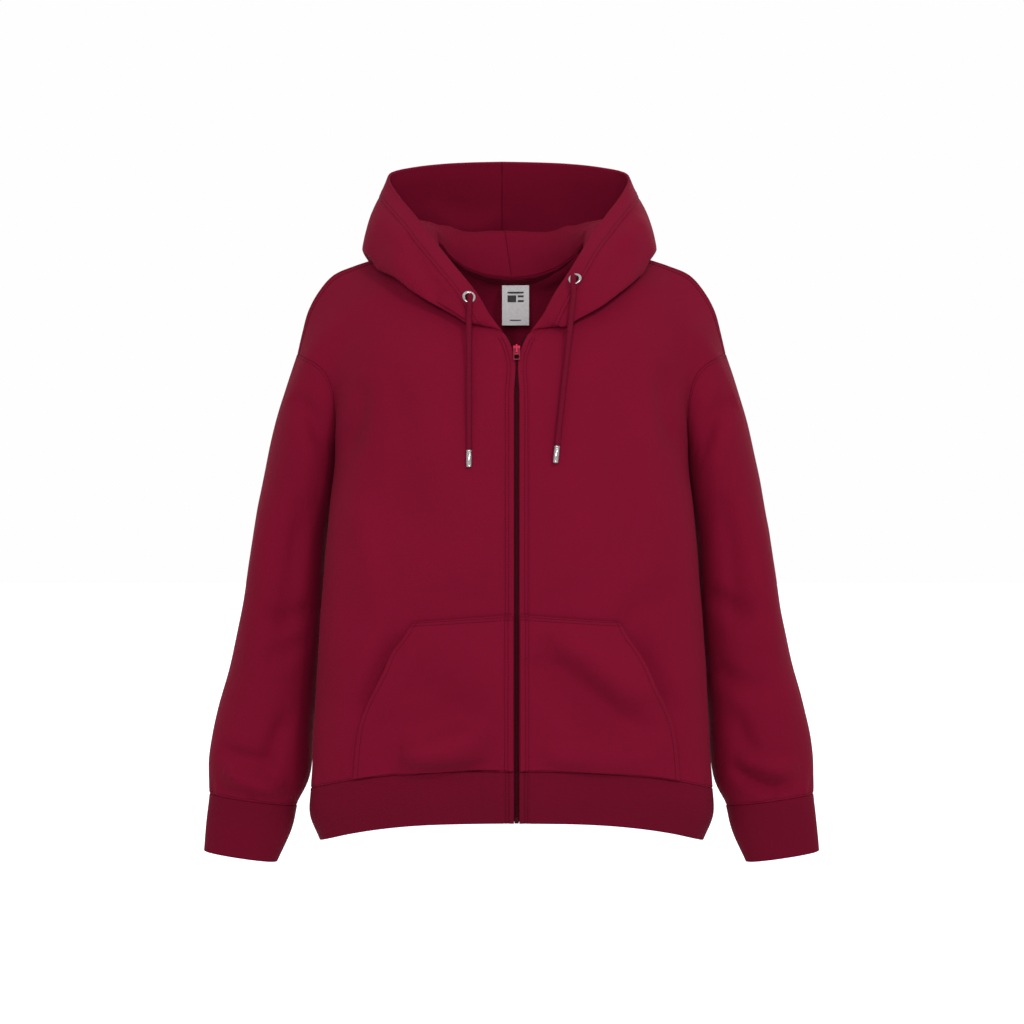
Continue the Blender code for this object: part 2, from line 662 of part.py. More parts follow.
# ---- pockets --------------------------------------------------------------------------
def pocket(name, sign):
    """Half of the kangaroo pocket, laid over a front from its zip edge to the band seam."""
    tree = surface([built["front_right" if sign > 0 else "front_left"]])
    side = np.array(POCKET_SIDE)
    hem = panels["front_right" if sign > 0 else "front_left"]["grid"][0, :-2] * (sign, 1, 1)
    corner_x, corner_z = POCKET_SIDE[0]
    inner = EDGE + 0.0012 + sign * ZIP_X
    rows = []
    for down in np.linspace(0, 1, 10):
        level = corner_z + (side[-1, 1] - corner_z) * down
        outer = np.interp(-level, -side[:, 1], side[:, 0]) + (POCKET_WIDER if sign > 0 else 0)
        open_here = np.clip(math.sin(math.pi * min(1.0, down / 0.66)), 0, 1)
        row = []
        for over in np.linspace(0, 1, 9):
            x = inner + (outer - inner) * over
            top = POCKET_TOP + (corner_z - POCKET_TOP) * over
            bottom = np.interp(x, hem[:, 0], hem[:, 2]) + 0.0020
            place, normal = from_front(tree, sign * x, top + (bottom - top) * down)
            puff = 0.0020 * math.sin(math.pi * down) * math.sin(math.pi * over)
            rise = GAP * 4 + FLEECE / 2 + puff + POCKET_BAG * open_here * over**3
            row.append(place + normal * rise)
        rows.append(row)
    grid = np.array(rows)
    out = facing(grid, False)
    if out[4, 4, 1] > 0:
        out = -out
    return wall(name, grid, out, FLEECE, "fleece", drawn=False)


# ---- the zip --------------------------------------------------------------------------
def front_edge(side):
    """A front's zip edge from the hem up to the neck, the way into the cloth, and out."""
    body, band = panels["front_" + side], panels["waistband"]
    last, beside = (0, 1) if side == "right" else (-1, -2)
    points = np.concatenate([band["grid"][:0:-1, last], body["grid"][:13, 0]])
    within = np.concatenate([band["grid"][:0:-1, beside], body["grid"][:13, 1]])
    out = np.concatenate([band["out"][:0:-1, last], body["out"][:13, 0]])
    return points, unit(within - points), unit(out)


def cut_line(points, low, high):
    """The stretch of a rising line of points between two levels."""
    inside = points[(points[:, 2] > low + 0.001) & (points[:, 2] < high - 0.001), 2]
    levels = np.array([low, *inside, high])
    return np.stack([np.interp(levels, points[:, 2], points[:, k]) for k in range(3)], axis=1)


def beside(points, ways, line):
    """The ways given at the points, read again along another line by their height."""
    return unit(
        np.stack([np.interp(line[:, 2], points[:, 2], ways[:, k]) for k in range(3)], axis=1)
    )


def zip_strip(name, side, near, far, behind, thick, low, high, colour):
    """A strip that follows one front's edge, from near to far of it, behind its middle."""
    points, into, out = front_edge(side)
    line = cut_line(points, low, high)
    into, out = beside(points, into, line), beside(points, out, line)
    grid = np.stack([line + into * near, line + into * far], axis=1) - out[:, None] * behind
    return wall(name, grid, np.repeat(out[:, None], 2, axis=1), thick, colour, drawn=False)


def zip_frame(level):
    """A frame on the zip's middle at a level: x across, y up along it, z out of it."""
    left, right = front_edge("left")[0], front_edge("right")[0]
    line = (left + right) / 2
    above, here, below = (
        Vector([np.interp(z, line[:, 2], line[:, k]) for k in range(3)])
        for z in (level + 0.005, level, level - 0.005)
    )
    up = (above - below).normalized()
    out = Vector((1, 0, 0)).cross(up)
    turn = Matrix((Vector((1, 0, 0)), up, out)).transposed().to_4x4()
    return Matrix.Translation(here) @ turn


def zip_chain():
    left, right = front_edge("left")[0], front_edge("right")[0]
    line = cut_line((left + right) / 2, -0.6808, SLIDER_Z + 0.0010)
    up = unit(np.gradient(line, axis=0))
    out = np.cross(np.array([1.0, 0, 0]), up)
    grid = np.stack([line - (CHAIN_WIDE / 2, 0, 0), line + (CHAIN_WIDE / 2, 0, 0)], axis=1)
    return wall("zip_chain", grid, np.repeat(out[:, None], 2, axis=1), CHAIN_DEEP, "teeth",
                drawn=False)


def slider_box(name, x, y, z, frame, bevel=0.0):
    """A block of the slider, given by its reach along each axis of the slider's frame."""
    size = [b - a for a, b in (x, y, z)]
    middle = Vector([(a + b) / 2 for a, b in (x, y, z)])
    return block(name, size, frame @ middle, "lacquer", frame.to_3x3().to_4x4(), bevel)


def zip_slider():
    """Two plates and the post that parts the teeth, with a bridge that holds the pull."""
    f = zip_frame(SLIDER_Z)
    body = slider_box("zip_slider", (-0.0041, 0.0041), (-0.0053, 0.0053), (0.0018, 0.0029),
                      f, 0.0004)
    parts = (
        ((-0.0041, 0.0041), (-0.0053, 0.0053), (-0.0047, -0.0036)),
        ((-0.0009, 0.0009), (0.0022, 0.0042), (-0.0040, 0.0022)),
        ((-0.0008, 0.0008), (0.0036, 0.0051), (0.0024, 0.0068)),
        ((-0.0008, 0.0008), (-0.0046, -0.0031), (0.0024, 0.0068)),
        ((-0.0009, 0.0009), (-0.0047, 0.0052), (0.0058, 0.0070)),
    )
    for x, y, z in parts:
        combine(body, slider_box("zip_slider_piece", x, y, z, f), "UNION")
    return body


def zip_pull():
    """The short pull tab with its oval hole, hanging by its top bar from the bridge."""
    f = zip_frame(SLIDER_Z) @ Matrix.Translation((0, 0.0003, 0.0043))
    half, thick = PULL_WIDE / 2, PULL_THICK
    tab = block("zip_pull", (PULL_WIDE, PULL_LONG, thick), (0, 0.0009 - PULL_LONG / 2, 0),
                "pull", bevel=0.0004)
    eye = block("pull_eye", (half * 1.06, 0.0054, thick * 3), (0, -0.0009 - 0.0027, 0), None)
    combine(tab, eye, "DIFFERENCE")
    hole = block("pull_hole", (PULL_HOLE_WIDE, PULL_HOLE_TALL, 0.010),
                 (0, -PULL_HOLE_DOWN, 0), None, bevel=0.0017)
    combine(tab, hole, "DIFFERENCE")
    tab.matrix_world = f
    return tab


def zip_box():
    f = zip_frame(-0.6855)
    return block("zip_box", (0.0052, 0.0082, 0.0026), f.translation, "teeth",
                 f.to_3x3().to_4x4(), 0.0005)


# ---- the neck tape and label ------------------------------------------------------------
def neck_tape():
    body = panels["back"]
    first = FRONT_COLUMNS
    columns = slice(first, first + 2 * NECK_COLUMNS + 1)
    top, under = body["grid"][-1, columns], body["grid"][-2, columns]
    down, out = unit(under - top), unit(body["out"][-2, columns])
    set_in = out * (FLEECE / 2 + GAP * 3 + TAPE_THICK / 2)
    grid = np.array([top + down * d - set_in for d in (0.002, 0.002 + NECK_TAPE_WIDE)])
    wall("neck_tape", grid, np.stack([out, out]), TAPE_THICK, "tape", drawn=False)
    return grid


def label(tape):
    """A woven label sewn under the neck tape, hanging free down the inside of the back."""
    hang = tape[1][np.argsort(tape[1][:, 0])]
    xs = LABEL_X + np.linspace(-0.5, 0.5, 5) * LABEL_WIDE
    ys = np.interp(xs, hang[:, 0], hang[:, 1]) - TAPE_THICK - GAP * 2 - LABEL_THICK / 2
    ys -= 0.0016
    zs = hang[:, 2].min() + 0.0010
    rows = []
    for k in range(7):
        down = k / 6
        bow = 0.0012 * math.sin(math.pi * down)
        rows.append([(x, y - bow, zs - LABEL_LONG * down) for x, y in zip(xs, ys, strict=True)])
    grid = np.array(rows)
    out = np.zeros_like(grid)
    out[..., 1] = -1
    return wall("label", grid, out, LABEL_THICK, "label", drawn=False)


# ---- eyelets, drawcords and their tips --------------------------------------------------
def eyelet(side):
    """A two-flanged eyelet through the hood's outer wall. Gives its middle, facing and face."""
    hood = built["hood_" + side]
    tree = surface([hood])
    x, z = EYELETS[side]
    middle, normal = from_front(tree, x, z)
    around = [(r * math.cos(a), r * math.sin(a))
              for r in (EYELET_CUT, EYELET_OUTER) for a in np.linspace(0, 2 * math.pi, 17)[:-1]]
    hits = [from_front(tree, x + dx, z + dz) for dx, dz in around]
    hits = [(p, n) for p, n in hits if p and abs(p.y - middle.y) < 0.006]
    normal = sum((n for _, n in hits), normal.copy()).normalized()
    heights = [(p - middle).dot(normal) for p, _ in hits] + [0.0]
    high, low = max(heights) + GAP * 2, min(heights) - FLEECE - GAP * 4
    cutter = turned("cutter_" + side, [(0, -0.005), (EYELET_CUT, -0.005), (EYELET_CUT, 0.005),
                                       (0, 0.005)], middle, normal, None)
    combine(hood, cutter, "DIFFERENCE")
    b, r, t = EYELET_BORE, EYELET_BARREL, EYELET_THICK
    profile = [(b, high + t * 0.6), ((b + EYELET_OUTER) / 2, high + t),
               (EYELET_OUTER, high + t * 0.4), (EYELET_OUTER, high), (r, high), (r, low),
               (EYELET_OUTER * 0.85, low), (EYELET_OUTER * 0.85, low - 0.0006),
               (b, low - 0.0006)]
    turned("eyelet_" + side, profile, middle, normal, "steel")
    return middle, normal, high + t


def taut(ys):
    """A line of depths pulled tight: it may only move forward of where it started."""
    ys = np.array(ys, float)
    for _ in range(400):
        ys[1:-1] = np.minimum(ys[1:-1], (ys[:-2] + ys[2:]) / 2)
    return ys


def drawcord(side, middle, normal, face):
    """A cord that comes out through its eyelet and hangs over the hood's fold and chest."""
    tree = surface([built["hood_" + side], built["front_" + side], bpy.data.objects["eyelet_" + side]])
    end_x, end_z = CORD_ENDS[side]
    levels = np.linspace(middle.z - 0.016, end_z - TIP_LONG, 40)
    xs = np.interp(-levels, (-middle.z, -end_z), (middle.x, end_x))
    stand = TIP_RADIUS + GAP * 3
    ys = []
    for x, z in zip(xs, levels, strict=True):
        seen = [from_front(tree, x + dx, z)[0] for dx in (-0.003, 0, 0.003)]
        ys.append(min(p.y for p in seen if p is not None) - stand)
    hang = np.stack([xs, taut(ys), levels], axis=1)
    kept = hang[levels >= end_z]
    fall = Vector((0, 0, -1))
    fall = (fall - normal * fall.dot(normal)).normalized()
    turn_out = ((-0.0070, 0.0000), (-0.0010, 0.0000), (0.0026, 0.0003), (0.0056, 0.0022),
                (0.0070, 0.0068))  # out past the eyelet's face, and down from its middle
    start = [middle + normal * (face + far) + fall * down for far, down in turn_out]
    route = np.array([tuple(p) for p in start + [Vector(p) for p in kept[::3]]] + [kept[-1]])
    long = np.linalg.norm(np.diff(route, axis=0), axis=1).sum()
    line = evenly(route, int(long / (CORD_RADIUS * 4)))
    data = bpy.data.curves.new("drawcord_" + side, "CURVE")
    data.dimensions, data.fill_mode, data.use_fill_caps = "3D", "FULL", True
    data.bevel_depth, data.bevel_resolution = CORD_RADIUS, 2
    run = data.splines.new("POLY")
    run.points.add(len(line) - 1)
    for point, place in zip(run.points, line, strict=True):
        point.co = (*place, 1.0)
    add("drawcord_" + side, data, "cord")
    way = Vector(line[-1] - line[-3]).normalized()
    r = TIP_RADIUS
    turned("cord_tip_" + side, [(0, 0), (r - 0.0005, 0), (r, 0.0005), (r, TIP_LONG - 0.001),
                                (r - 0.001, TIP_LONG), (0, TIP_LONG)],
           Vector(line[-1]) + way * GAP, way, "steel", 16)
    return long


for side, sign in (("left", -1), ("right", 1)):
    pocket("pocket_" + side, sign)
    zip_strip("zip_tape_" + side, side, -EDGE + 0.0005, TAPE_WIDE - EDGE, TAPE_BEHIND,
              TAPE_THICK, -0.6885, -0.1195, "tape")
    zip_strip("zip_teeth_" + side, side, -0.0027, -0.0006, 0.0, CHAIN_DEEP,
              SLIDER_Z + 0.0046, -0.1195, "teeth")
zip_chain()
zip_slider()
zip_pull()
zip_box()
label(neck_tape())
for side in ("left", "right"):
    drawcord(side, *eyelet(side))
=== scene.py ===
"""Zip-up hooded sweatshirt: its cloth, rib, zip, cords and finish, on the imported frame."""

import math

import bmesh
import bpy
import numpy as np
from mathutils import Matrix, Vector
from mathutils.bvhtree import BVHTree


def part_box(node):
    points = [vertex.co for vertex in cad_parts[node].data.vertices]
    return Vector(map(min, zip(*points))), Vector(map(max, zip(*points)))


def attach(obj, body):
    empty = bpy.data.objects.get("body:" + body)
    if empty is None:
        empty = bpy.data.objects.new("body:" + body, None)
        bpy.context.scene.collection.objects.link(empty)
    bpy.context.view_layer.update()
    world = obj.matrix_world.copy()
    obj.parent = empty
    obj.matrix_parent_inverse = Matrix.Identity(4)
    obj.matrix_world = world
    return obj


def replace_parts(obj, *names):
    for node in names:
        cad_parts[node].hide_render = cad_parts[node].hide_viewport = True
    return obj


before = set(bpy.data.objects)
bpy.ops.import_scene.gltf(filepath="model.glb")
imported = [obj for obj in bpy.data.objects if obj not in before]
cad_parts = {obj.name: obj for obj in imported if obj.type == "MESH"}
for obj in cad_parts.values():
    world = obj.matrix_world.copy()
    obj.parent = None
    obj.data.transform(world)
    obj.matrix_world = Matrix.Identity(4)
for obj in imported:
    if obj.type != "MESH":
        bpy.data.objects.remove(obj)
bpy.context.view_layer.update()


# ---- sizes, as the panels were cut and sewn --------------------------------------------------
FLEECE = 0.0024  # wall of the body, sleeves, hood and pockets
RIB = 0.0032  # wall of the waistband and cuffs
HEM_FOLD = 0.0034  # wall of the turned hem round the hood's opening
GAP = 0.0003  # between pieces that touch
HANG_REACH = 0.05  # the zip's shift to one side fades out over this depth
ZIP_X = 0.006  # the zip hangs this far to the wearer's left of the middle
EDGE = 0.003  # each front edge stands this far off the zip's middle
SIDE_CURVE = 3.0  # roundness of the torso's front, 2 is an ellipse
BACK_CURVE = 2.6
MIDDLE_Y = -0.030  # the torso's widest line
FRONT_COLUMNS = 9
NECK_COLUMNS = 4  # on each half of the back neck
SLEEVE_SIDES = 20
HOOD_ROWS = 16

SLIDER_Z = -0.1375

CORD_RADIUS = 0.0033
CORD_STEP, BRAID_PITCH = 0.0007, 0.0052  # between the cord's rings, and of its strands
TIP_RADIUS, TIP_LONG = 0.0036, 0.020
EYELET_OUTER, EYELET_BORE, EYELET_BARREL, EYELET_THICK = 0.0080, 0.0046, 0.0052, 0.0009
EYELET_CUT = 0.0056  # radius of the hole in the hood's cloth


# ---- tables ----------------------------------------------------------------------------------
# The torso's rows: front level, half width, front y, back y, y of the side seam, how far
# the sides hang below the front, and how far the back hangs below the front.
TORSO = (
    (-0.6900, 0.2265, -0.088, 0.078, 0.000, 0.020, 0.010),
    (-0.6750, 0.2335, -0.094, 0.085, 0.000, 0.020, 0.011),
    (-0.6580, 0.2385, -0.100, 0.091, 0.001, 0.020, 0.012),
    (-0.6280, 0.2375, -0.104, 0.094, 0.002, 0.019, 0.012),
    (-0.5500, 0.2330, -0.114, 0.108, 0.006, 0.013, 0.009),
    (-0.4300, 0.2240, -0.121, 0.117, 0.016, 0.005, 0.004),
    (-0.3400, 0.2165, -0.1265, 0.124, 0.026, 0.002, 0.001),
    (-0.2620, 0.2120, -0.1275, 0.127, 0.032, 0.000, 0.000),
)
BAND_LEVELS = (-0.6280, -0.6580, -0.6900)
BODY_LEVELS = (-0.6280, -0.5500, -0.4300, -0.3400)

# The front above the underarm. Columns run from the zip or neck edge, over the chest, to
# the fold in front of the arm and the armhole seam.
FRONT_ROWS = {
    "underarm": (
        (0.003, -0.1275, -0.262), (0.070, -0.1255, -0.263), (0.130, -0.1165, -0.266),
        (0.173, -0.097, -0.270), (0.198, -0.068, -0.275), (0.2115, -0.024, -0.281),
        (0.2045, 0.032, -0.285)),
    "chest": (
        (0.003, -0.1235, -0.190), (0.068, -0.1205, -0.192), (0.128, -0.1105, -0.197),
        (0.169, -0.093, -0.205), (0.194, -0.069, -0.217), (0.208, -0.038, -0.233),
        (0.2105, -0.008, -0.246)),
    "slider": (
        (0.003, -0.1130, -0.142), (0.068, -0.1125, -0.147), (0.124, -0.105, -0.155),
        (0.165, -0.089, -0.166), (0.191, -0.068, -0.181), (0.205, -0.046, -0.198),
        (0.2095, -0.029, -0.214)),
    "zip_top": (
        (0.0146, -0.1035, -0.117), (0.068, -0.105, -0.125), (0.120, -0.099, -0.134),
        (0.162, -0.085, -0.145), (0.189, -0.066, -0.158), (0.204, -0.050, -0.172),
        (0.2115, -0.038, -0.184)),
    "collar_bone": (
        (0.056, -0.086, -0.088), (0.093, -0.085, -0.092), (0.128, -0.080, -0.099),
        (0.161, -0.071, -0.109), (0.187, -0.059, -0.123), (0.207, -0.048, -0.141),
        (0.223, -0.040, -0.157)),
    "neck_side": (
        (0.082, -0.046, -0.043), (0.111, -0.048, -0.049), (0.140, -0.047, -0.057),
        (0.168, -0.044, -0.070), (0.196, -0.040, -0.090), (0.223, -0.034, -0.117),
        (0.243, -0.027, -0.143)),
}
FRONT_STEPS = (2, 1, 1, 2, 2, 2)  # mesh rows from each of these to the next, and on up

SHOULDER_SEAM = (  # from the neck to the top of the sleeve
    (0.088, 0.005, 0.000), (0.118, 0.006, -0.008), (0.149, 0.007, -0.0172),
    (0.180, 0.008, -0.0268), (0.214, 0.010, -0.0405), (0.240, 0.011, -0.0745),
    (0.257, 0.012, -0.135))

# The back above the underarm, from the middle of the back to the armhole seam.
BACK_ROWS = {
    "underarm": (
        (0.000, 0.127, -0.262), (0.070, 0.1245, -0.263), (0.125, 0.1145, -0.266),
        (0.165, 0.097, -0.271), (0.190, 0.071, -0.277), (0.2045, 0.032, -0.285)),
    "shoulder_blade": (
        (0.000, 0.126, -0.190), (0.066, 0.123, -0.192), (0.118, 0.115, -0.198),
        (0.152, 0.104, -0.210), (0.174, 0.090, -0.229), (0.190, 0.068, -0.252)),
    "upper_back": (
        (0.000, 0.116, -0.125), (0.058, 0.114, -0.127), (0.108, 0.1095, -0.133),
        (0.146, 0.104, -0.146), (0.175, 0.1005, -0.166), (0.200, 0.096, -0.192)),
    "yoke": (
        (0.000, 0.101, -0.080), (0.045, 0.0995, -0.080), (0.092, 0.094, -0.082),
        (0.136, 0.087, -0.091), (0.180, 0.082, -0.112), (0.228, 0.073, -0.151)),
    "neck_back": (
        (0.000, 0.0865, -0.054), (0.040, 0.0845, -0.052), (0.088, 0.066, -0.042),
        (0.135, 0.058, -0.043), (0.188, 0.052, -0.062), (0.247, 0.044, -0.1395)),
}
BACK_STEPS = (2, 2, 2, 2, 2)
BACK_NECK = (
    (0.000, 0.072, -0.038), (0.035, 0.066, -0.034), (0.065, 0.045, -0.022),
    (0.088, 0.005, 0.000))

# The sleeve's rings: the outer and inner ends of the ring as x and z, the y of its
# middle, and how far it reaches to the front and the back of that.
SLEEVE = (
    (0.2766, -0.191, 0.2135, -0.306, 0.035, 0.076),
    (0.2910, -0.246, 0.2190, -0.334, 0.036, 0.074),
    (0.3040, -0.312, 0.2230, -0.372, 0.036, 0.072),
    (0.3160, -0.388, 0.2265, -0.428, 0.036, 0.070),
    (0.3255, -0.448, 0.2300, -0.480, 0.035, 0.067),
    (0.3380, -0.506, 0.2345, -0.533, 0.032, 0.062),
    (0.3535, -0.564, 0.2400, -0.588, 0.027, 0.055),
    (0.3635, -0.622, 0.2450, -0.644, 0.022, 0.046),
    (0.3625, -0.664, 0.2600, -0.678, 0.018, 0.034),
)
SLEEVE_STEPS = (2, 1, 2, 2, 1, 1, 1, 2, 1)
CUFF = (
    (0.3655, -0.690, 0.2650, -0.702, 0.016, 0.030),
    (0.3690, -0.733, 0.2835, -0.746, 0.012, 0.024),
)

# The hood lies open behind the neck. Each row is a place along the neckline, as a share
# of the way from the front to the middle of the back. From the neck seam the cloth
# stands up, turns over at the crest, drops to the fold, and rises up the outer wall to
# the edge of the opening.
HOOD = (
    (0.10, (0.057, -0.091, -0.079), (0.060, -0.098, -0.084), (0.055, -0.1100, -0.107),
     (0.046, -0.109, -0.101), (0.032, -0.1020, -0.094)),
    (0.20, (0.069, -0.073, -0.056), (0.078, -0.084, -0.053), (0.079, -0.1030, -0.093),
     (0.066, -0.105, -0.078), (0.0445, -0.0955, -0.071)),
    (0.32, (0.083, -0.046, -0.030), (0.098, -0.060, -0.026), (0.107, -0.0930, -0.077),
     (0.092, -0.093, -0.050), (0.066, -0.0800, -0.041)),
    (0.44, (0.088, -0.020, -0.008), (0.109, -0.034, 0.000), (0.136, -0.0710, -0.057),
     (0.120, -0.071, -0.020), (0.090, -0.0520, -0.005)),
    (0.56, (0.090, 0.006, 0.012), (0.117, -0.002, 0.021), (0.160, -0.0380, -0.037),
     (0.148, -0.036, 0.010), (0.115, -0.0180, 0.031)),
    (0.67, (0.077, 0.036, 0.004), (0.116, 0.030, 0.029), (0.1745, 0.0020, -0.014),
     (0.164, 0.010, 0.034), (0.139, 0.0240, 0.065)),
    (0.78, (0.056, 0.060, 0.000), (0.094, 0.066, 0.028), (0.152, 0.0860, -0.052),
     (0.158, 0.080, 0.030), (0.141, 0.0680, 0.091)),
    (0.89, (0.029, 0.075, -0.006), (0.050, 0.086, 0.022), (0.088, 0.1350, -0.115),
     (0.095, 0.142, 0.010), (0.076, 0.1000, 0.105)),
    (1.00, (0.000, 0.080, -0.010), (0.000, 0.095, 0.019), (0.000, 0.1520, -0.140),
     (0.000, 0.172, -0.015), (0.000, 0.1120, 0.109)),
)
HOOD_LEAN = 0.006  # the fold hangs this much lower on the wearer's left, and higher right
HOOD_SEAM_X = -0.012  # the hood's middle seam has slipped this far to the wearer's right

# A pocket's outer side, from its top corner down the slanted opening to the band.
POCKET_TOP = -0.4440  # at the zip
POCKET_SIDE = (
    (0.1140, -0.4525), (0.1290, -0.4850), (0.1430, -0.5200), (0.1560, -0.5450),
    (0.1755, -0.5700), (0.1820, -0.6050), (0.1845, -0.6400))
POCKET_BAG = 0.010  # how far the opening stands off the front
POCKET_WIDER = 0.0116  # the right-hand half reaches this much further from the middle

# Eyelets, where the drawcords come out of the hood, as x and z.
EYELETS = {"left": (-0.0495, -0.0744), "right": (0.0742, -0.0528)}

# The drawcords' routes, from inside the eyelet to the metal tip.
ROUTES = {
    "left": (
        (-0.0505, -0.0969, -0.0766), (-0.0478, -0.1096, -0.0738), (-0.0489, -0.1121, -0.0866),
        (-0.0495, -0.1133, -0.1004), (-0.0494, -0.1156, -0.1142), (-0.0494, -0.1177, -0.1280),
        (-0.0494, -0.1198, -0.1419), (-0.0493, -0.1219, -0.1557), (-0.0493, -0.1240, -0.1695),
        (-0.0493, -0.1261, -0.1834), (-0.0492, -0.1279, -0.1972), (-0.0492, -0.1292, -0.2112),
        (-0.0492, -0.1304, -0.2251), (-0.0491, -0.1312, -0.2391), (-0.0491, -0.1317, -0.2531)),
    "right": (
        (0.0754, -0.0897, -0.0559), (0.0721, -0.1011, -0.0505), (0.0716, -0.1075, -0.0616),
        (0.0720, -0.1105, -0.0747), (0.0703, -0.1137, -0.0878), (0.0689, -0.1155, -0.1011),
        (0.0674, -0.1172, -0.1145), (0.0659, -0.1190, -0.1279), (0.0645, -0.1207, -0.1412),
        (0.0630, -0.1224, -0.1546), (0.0615, -0.1242, -0.1679), (0.0600, -0.1260, -0.1813),
        (0.0586, -0.1276, -0.1947), (0.0571, -0.1290, -0.2081), (0.0556, -0.1304, -0.2215),
        (0.0541, -0.1313, -0.2349), (0.0527, -0.1319, -0.2484)),
}

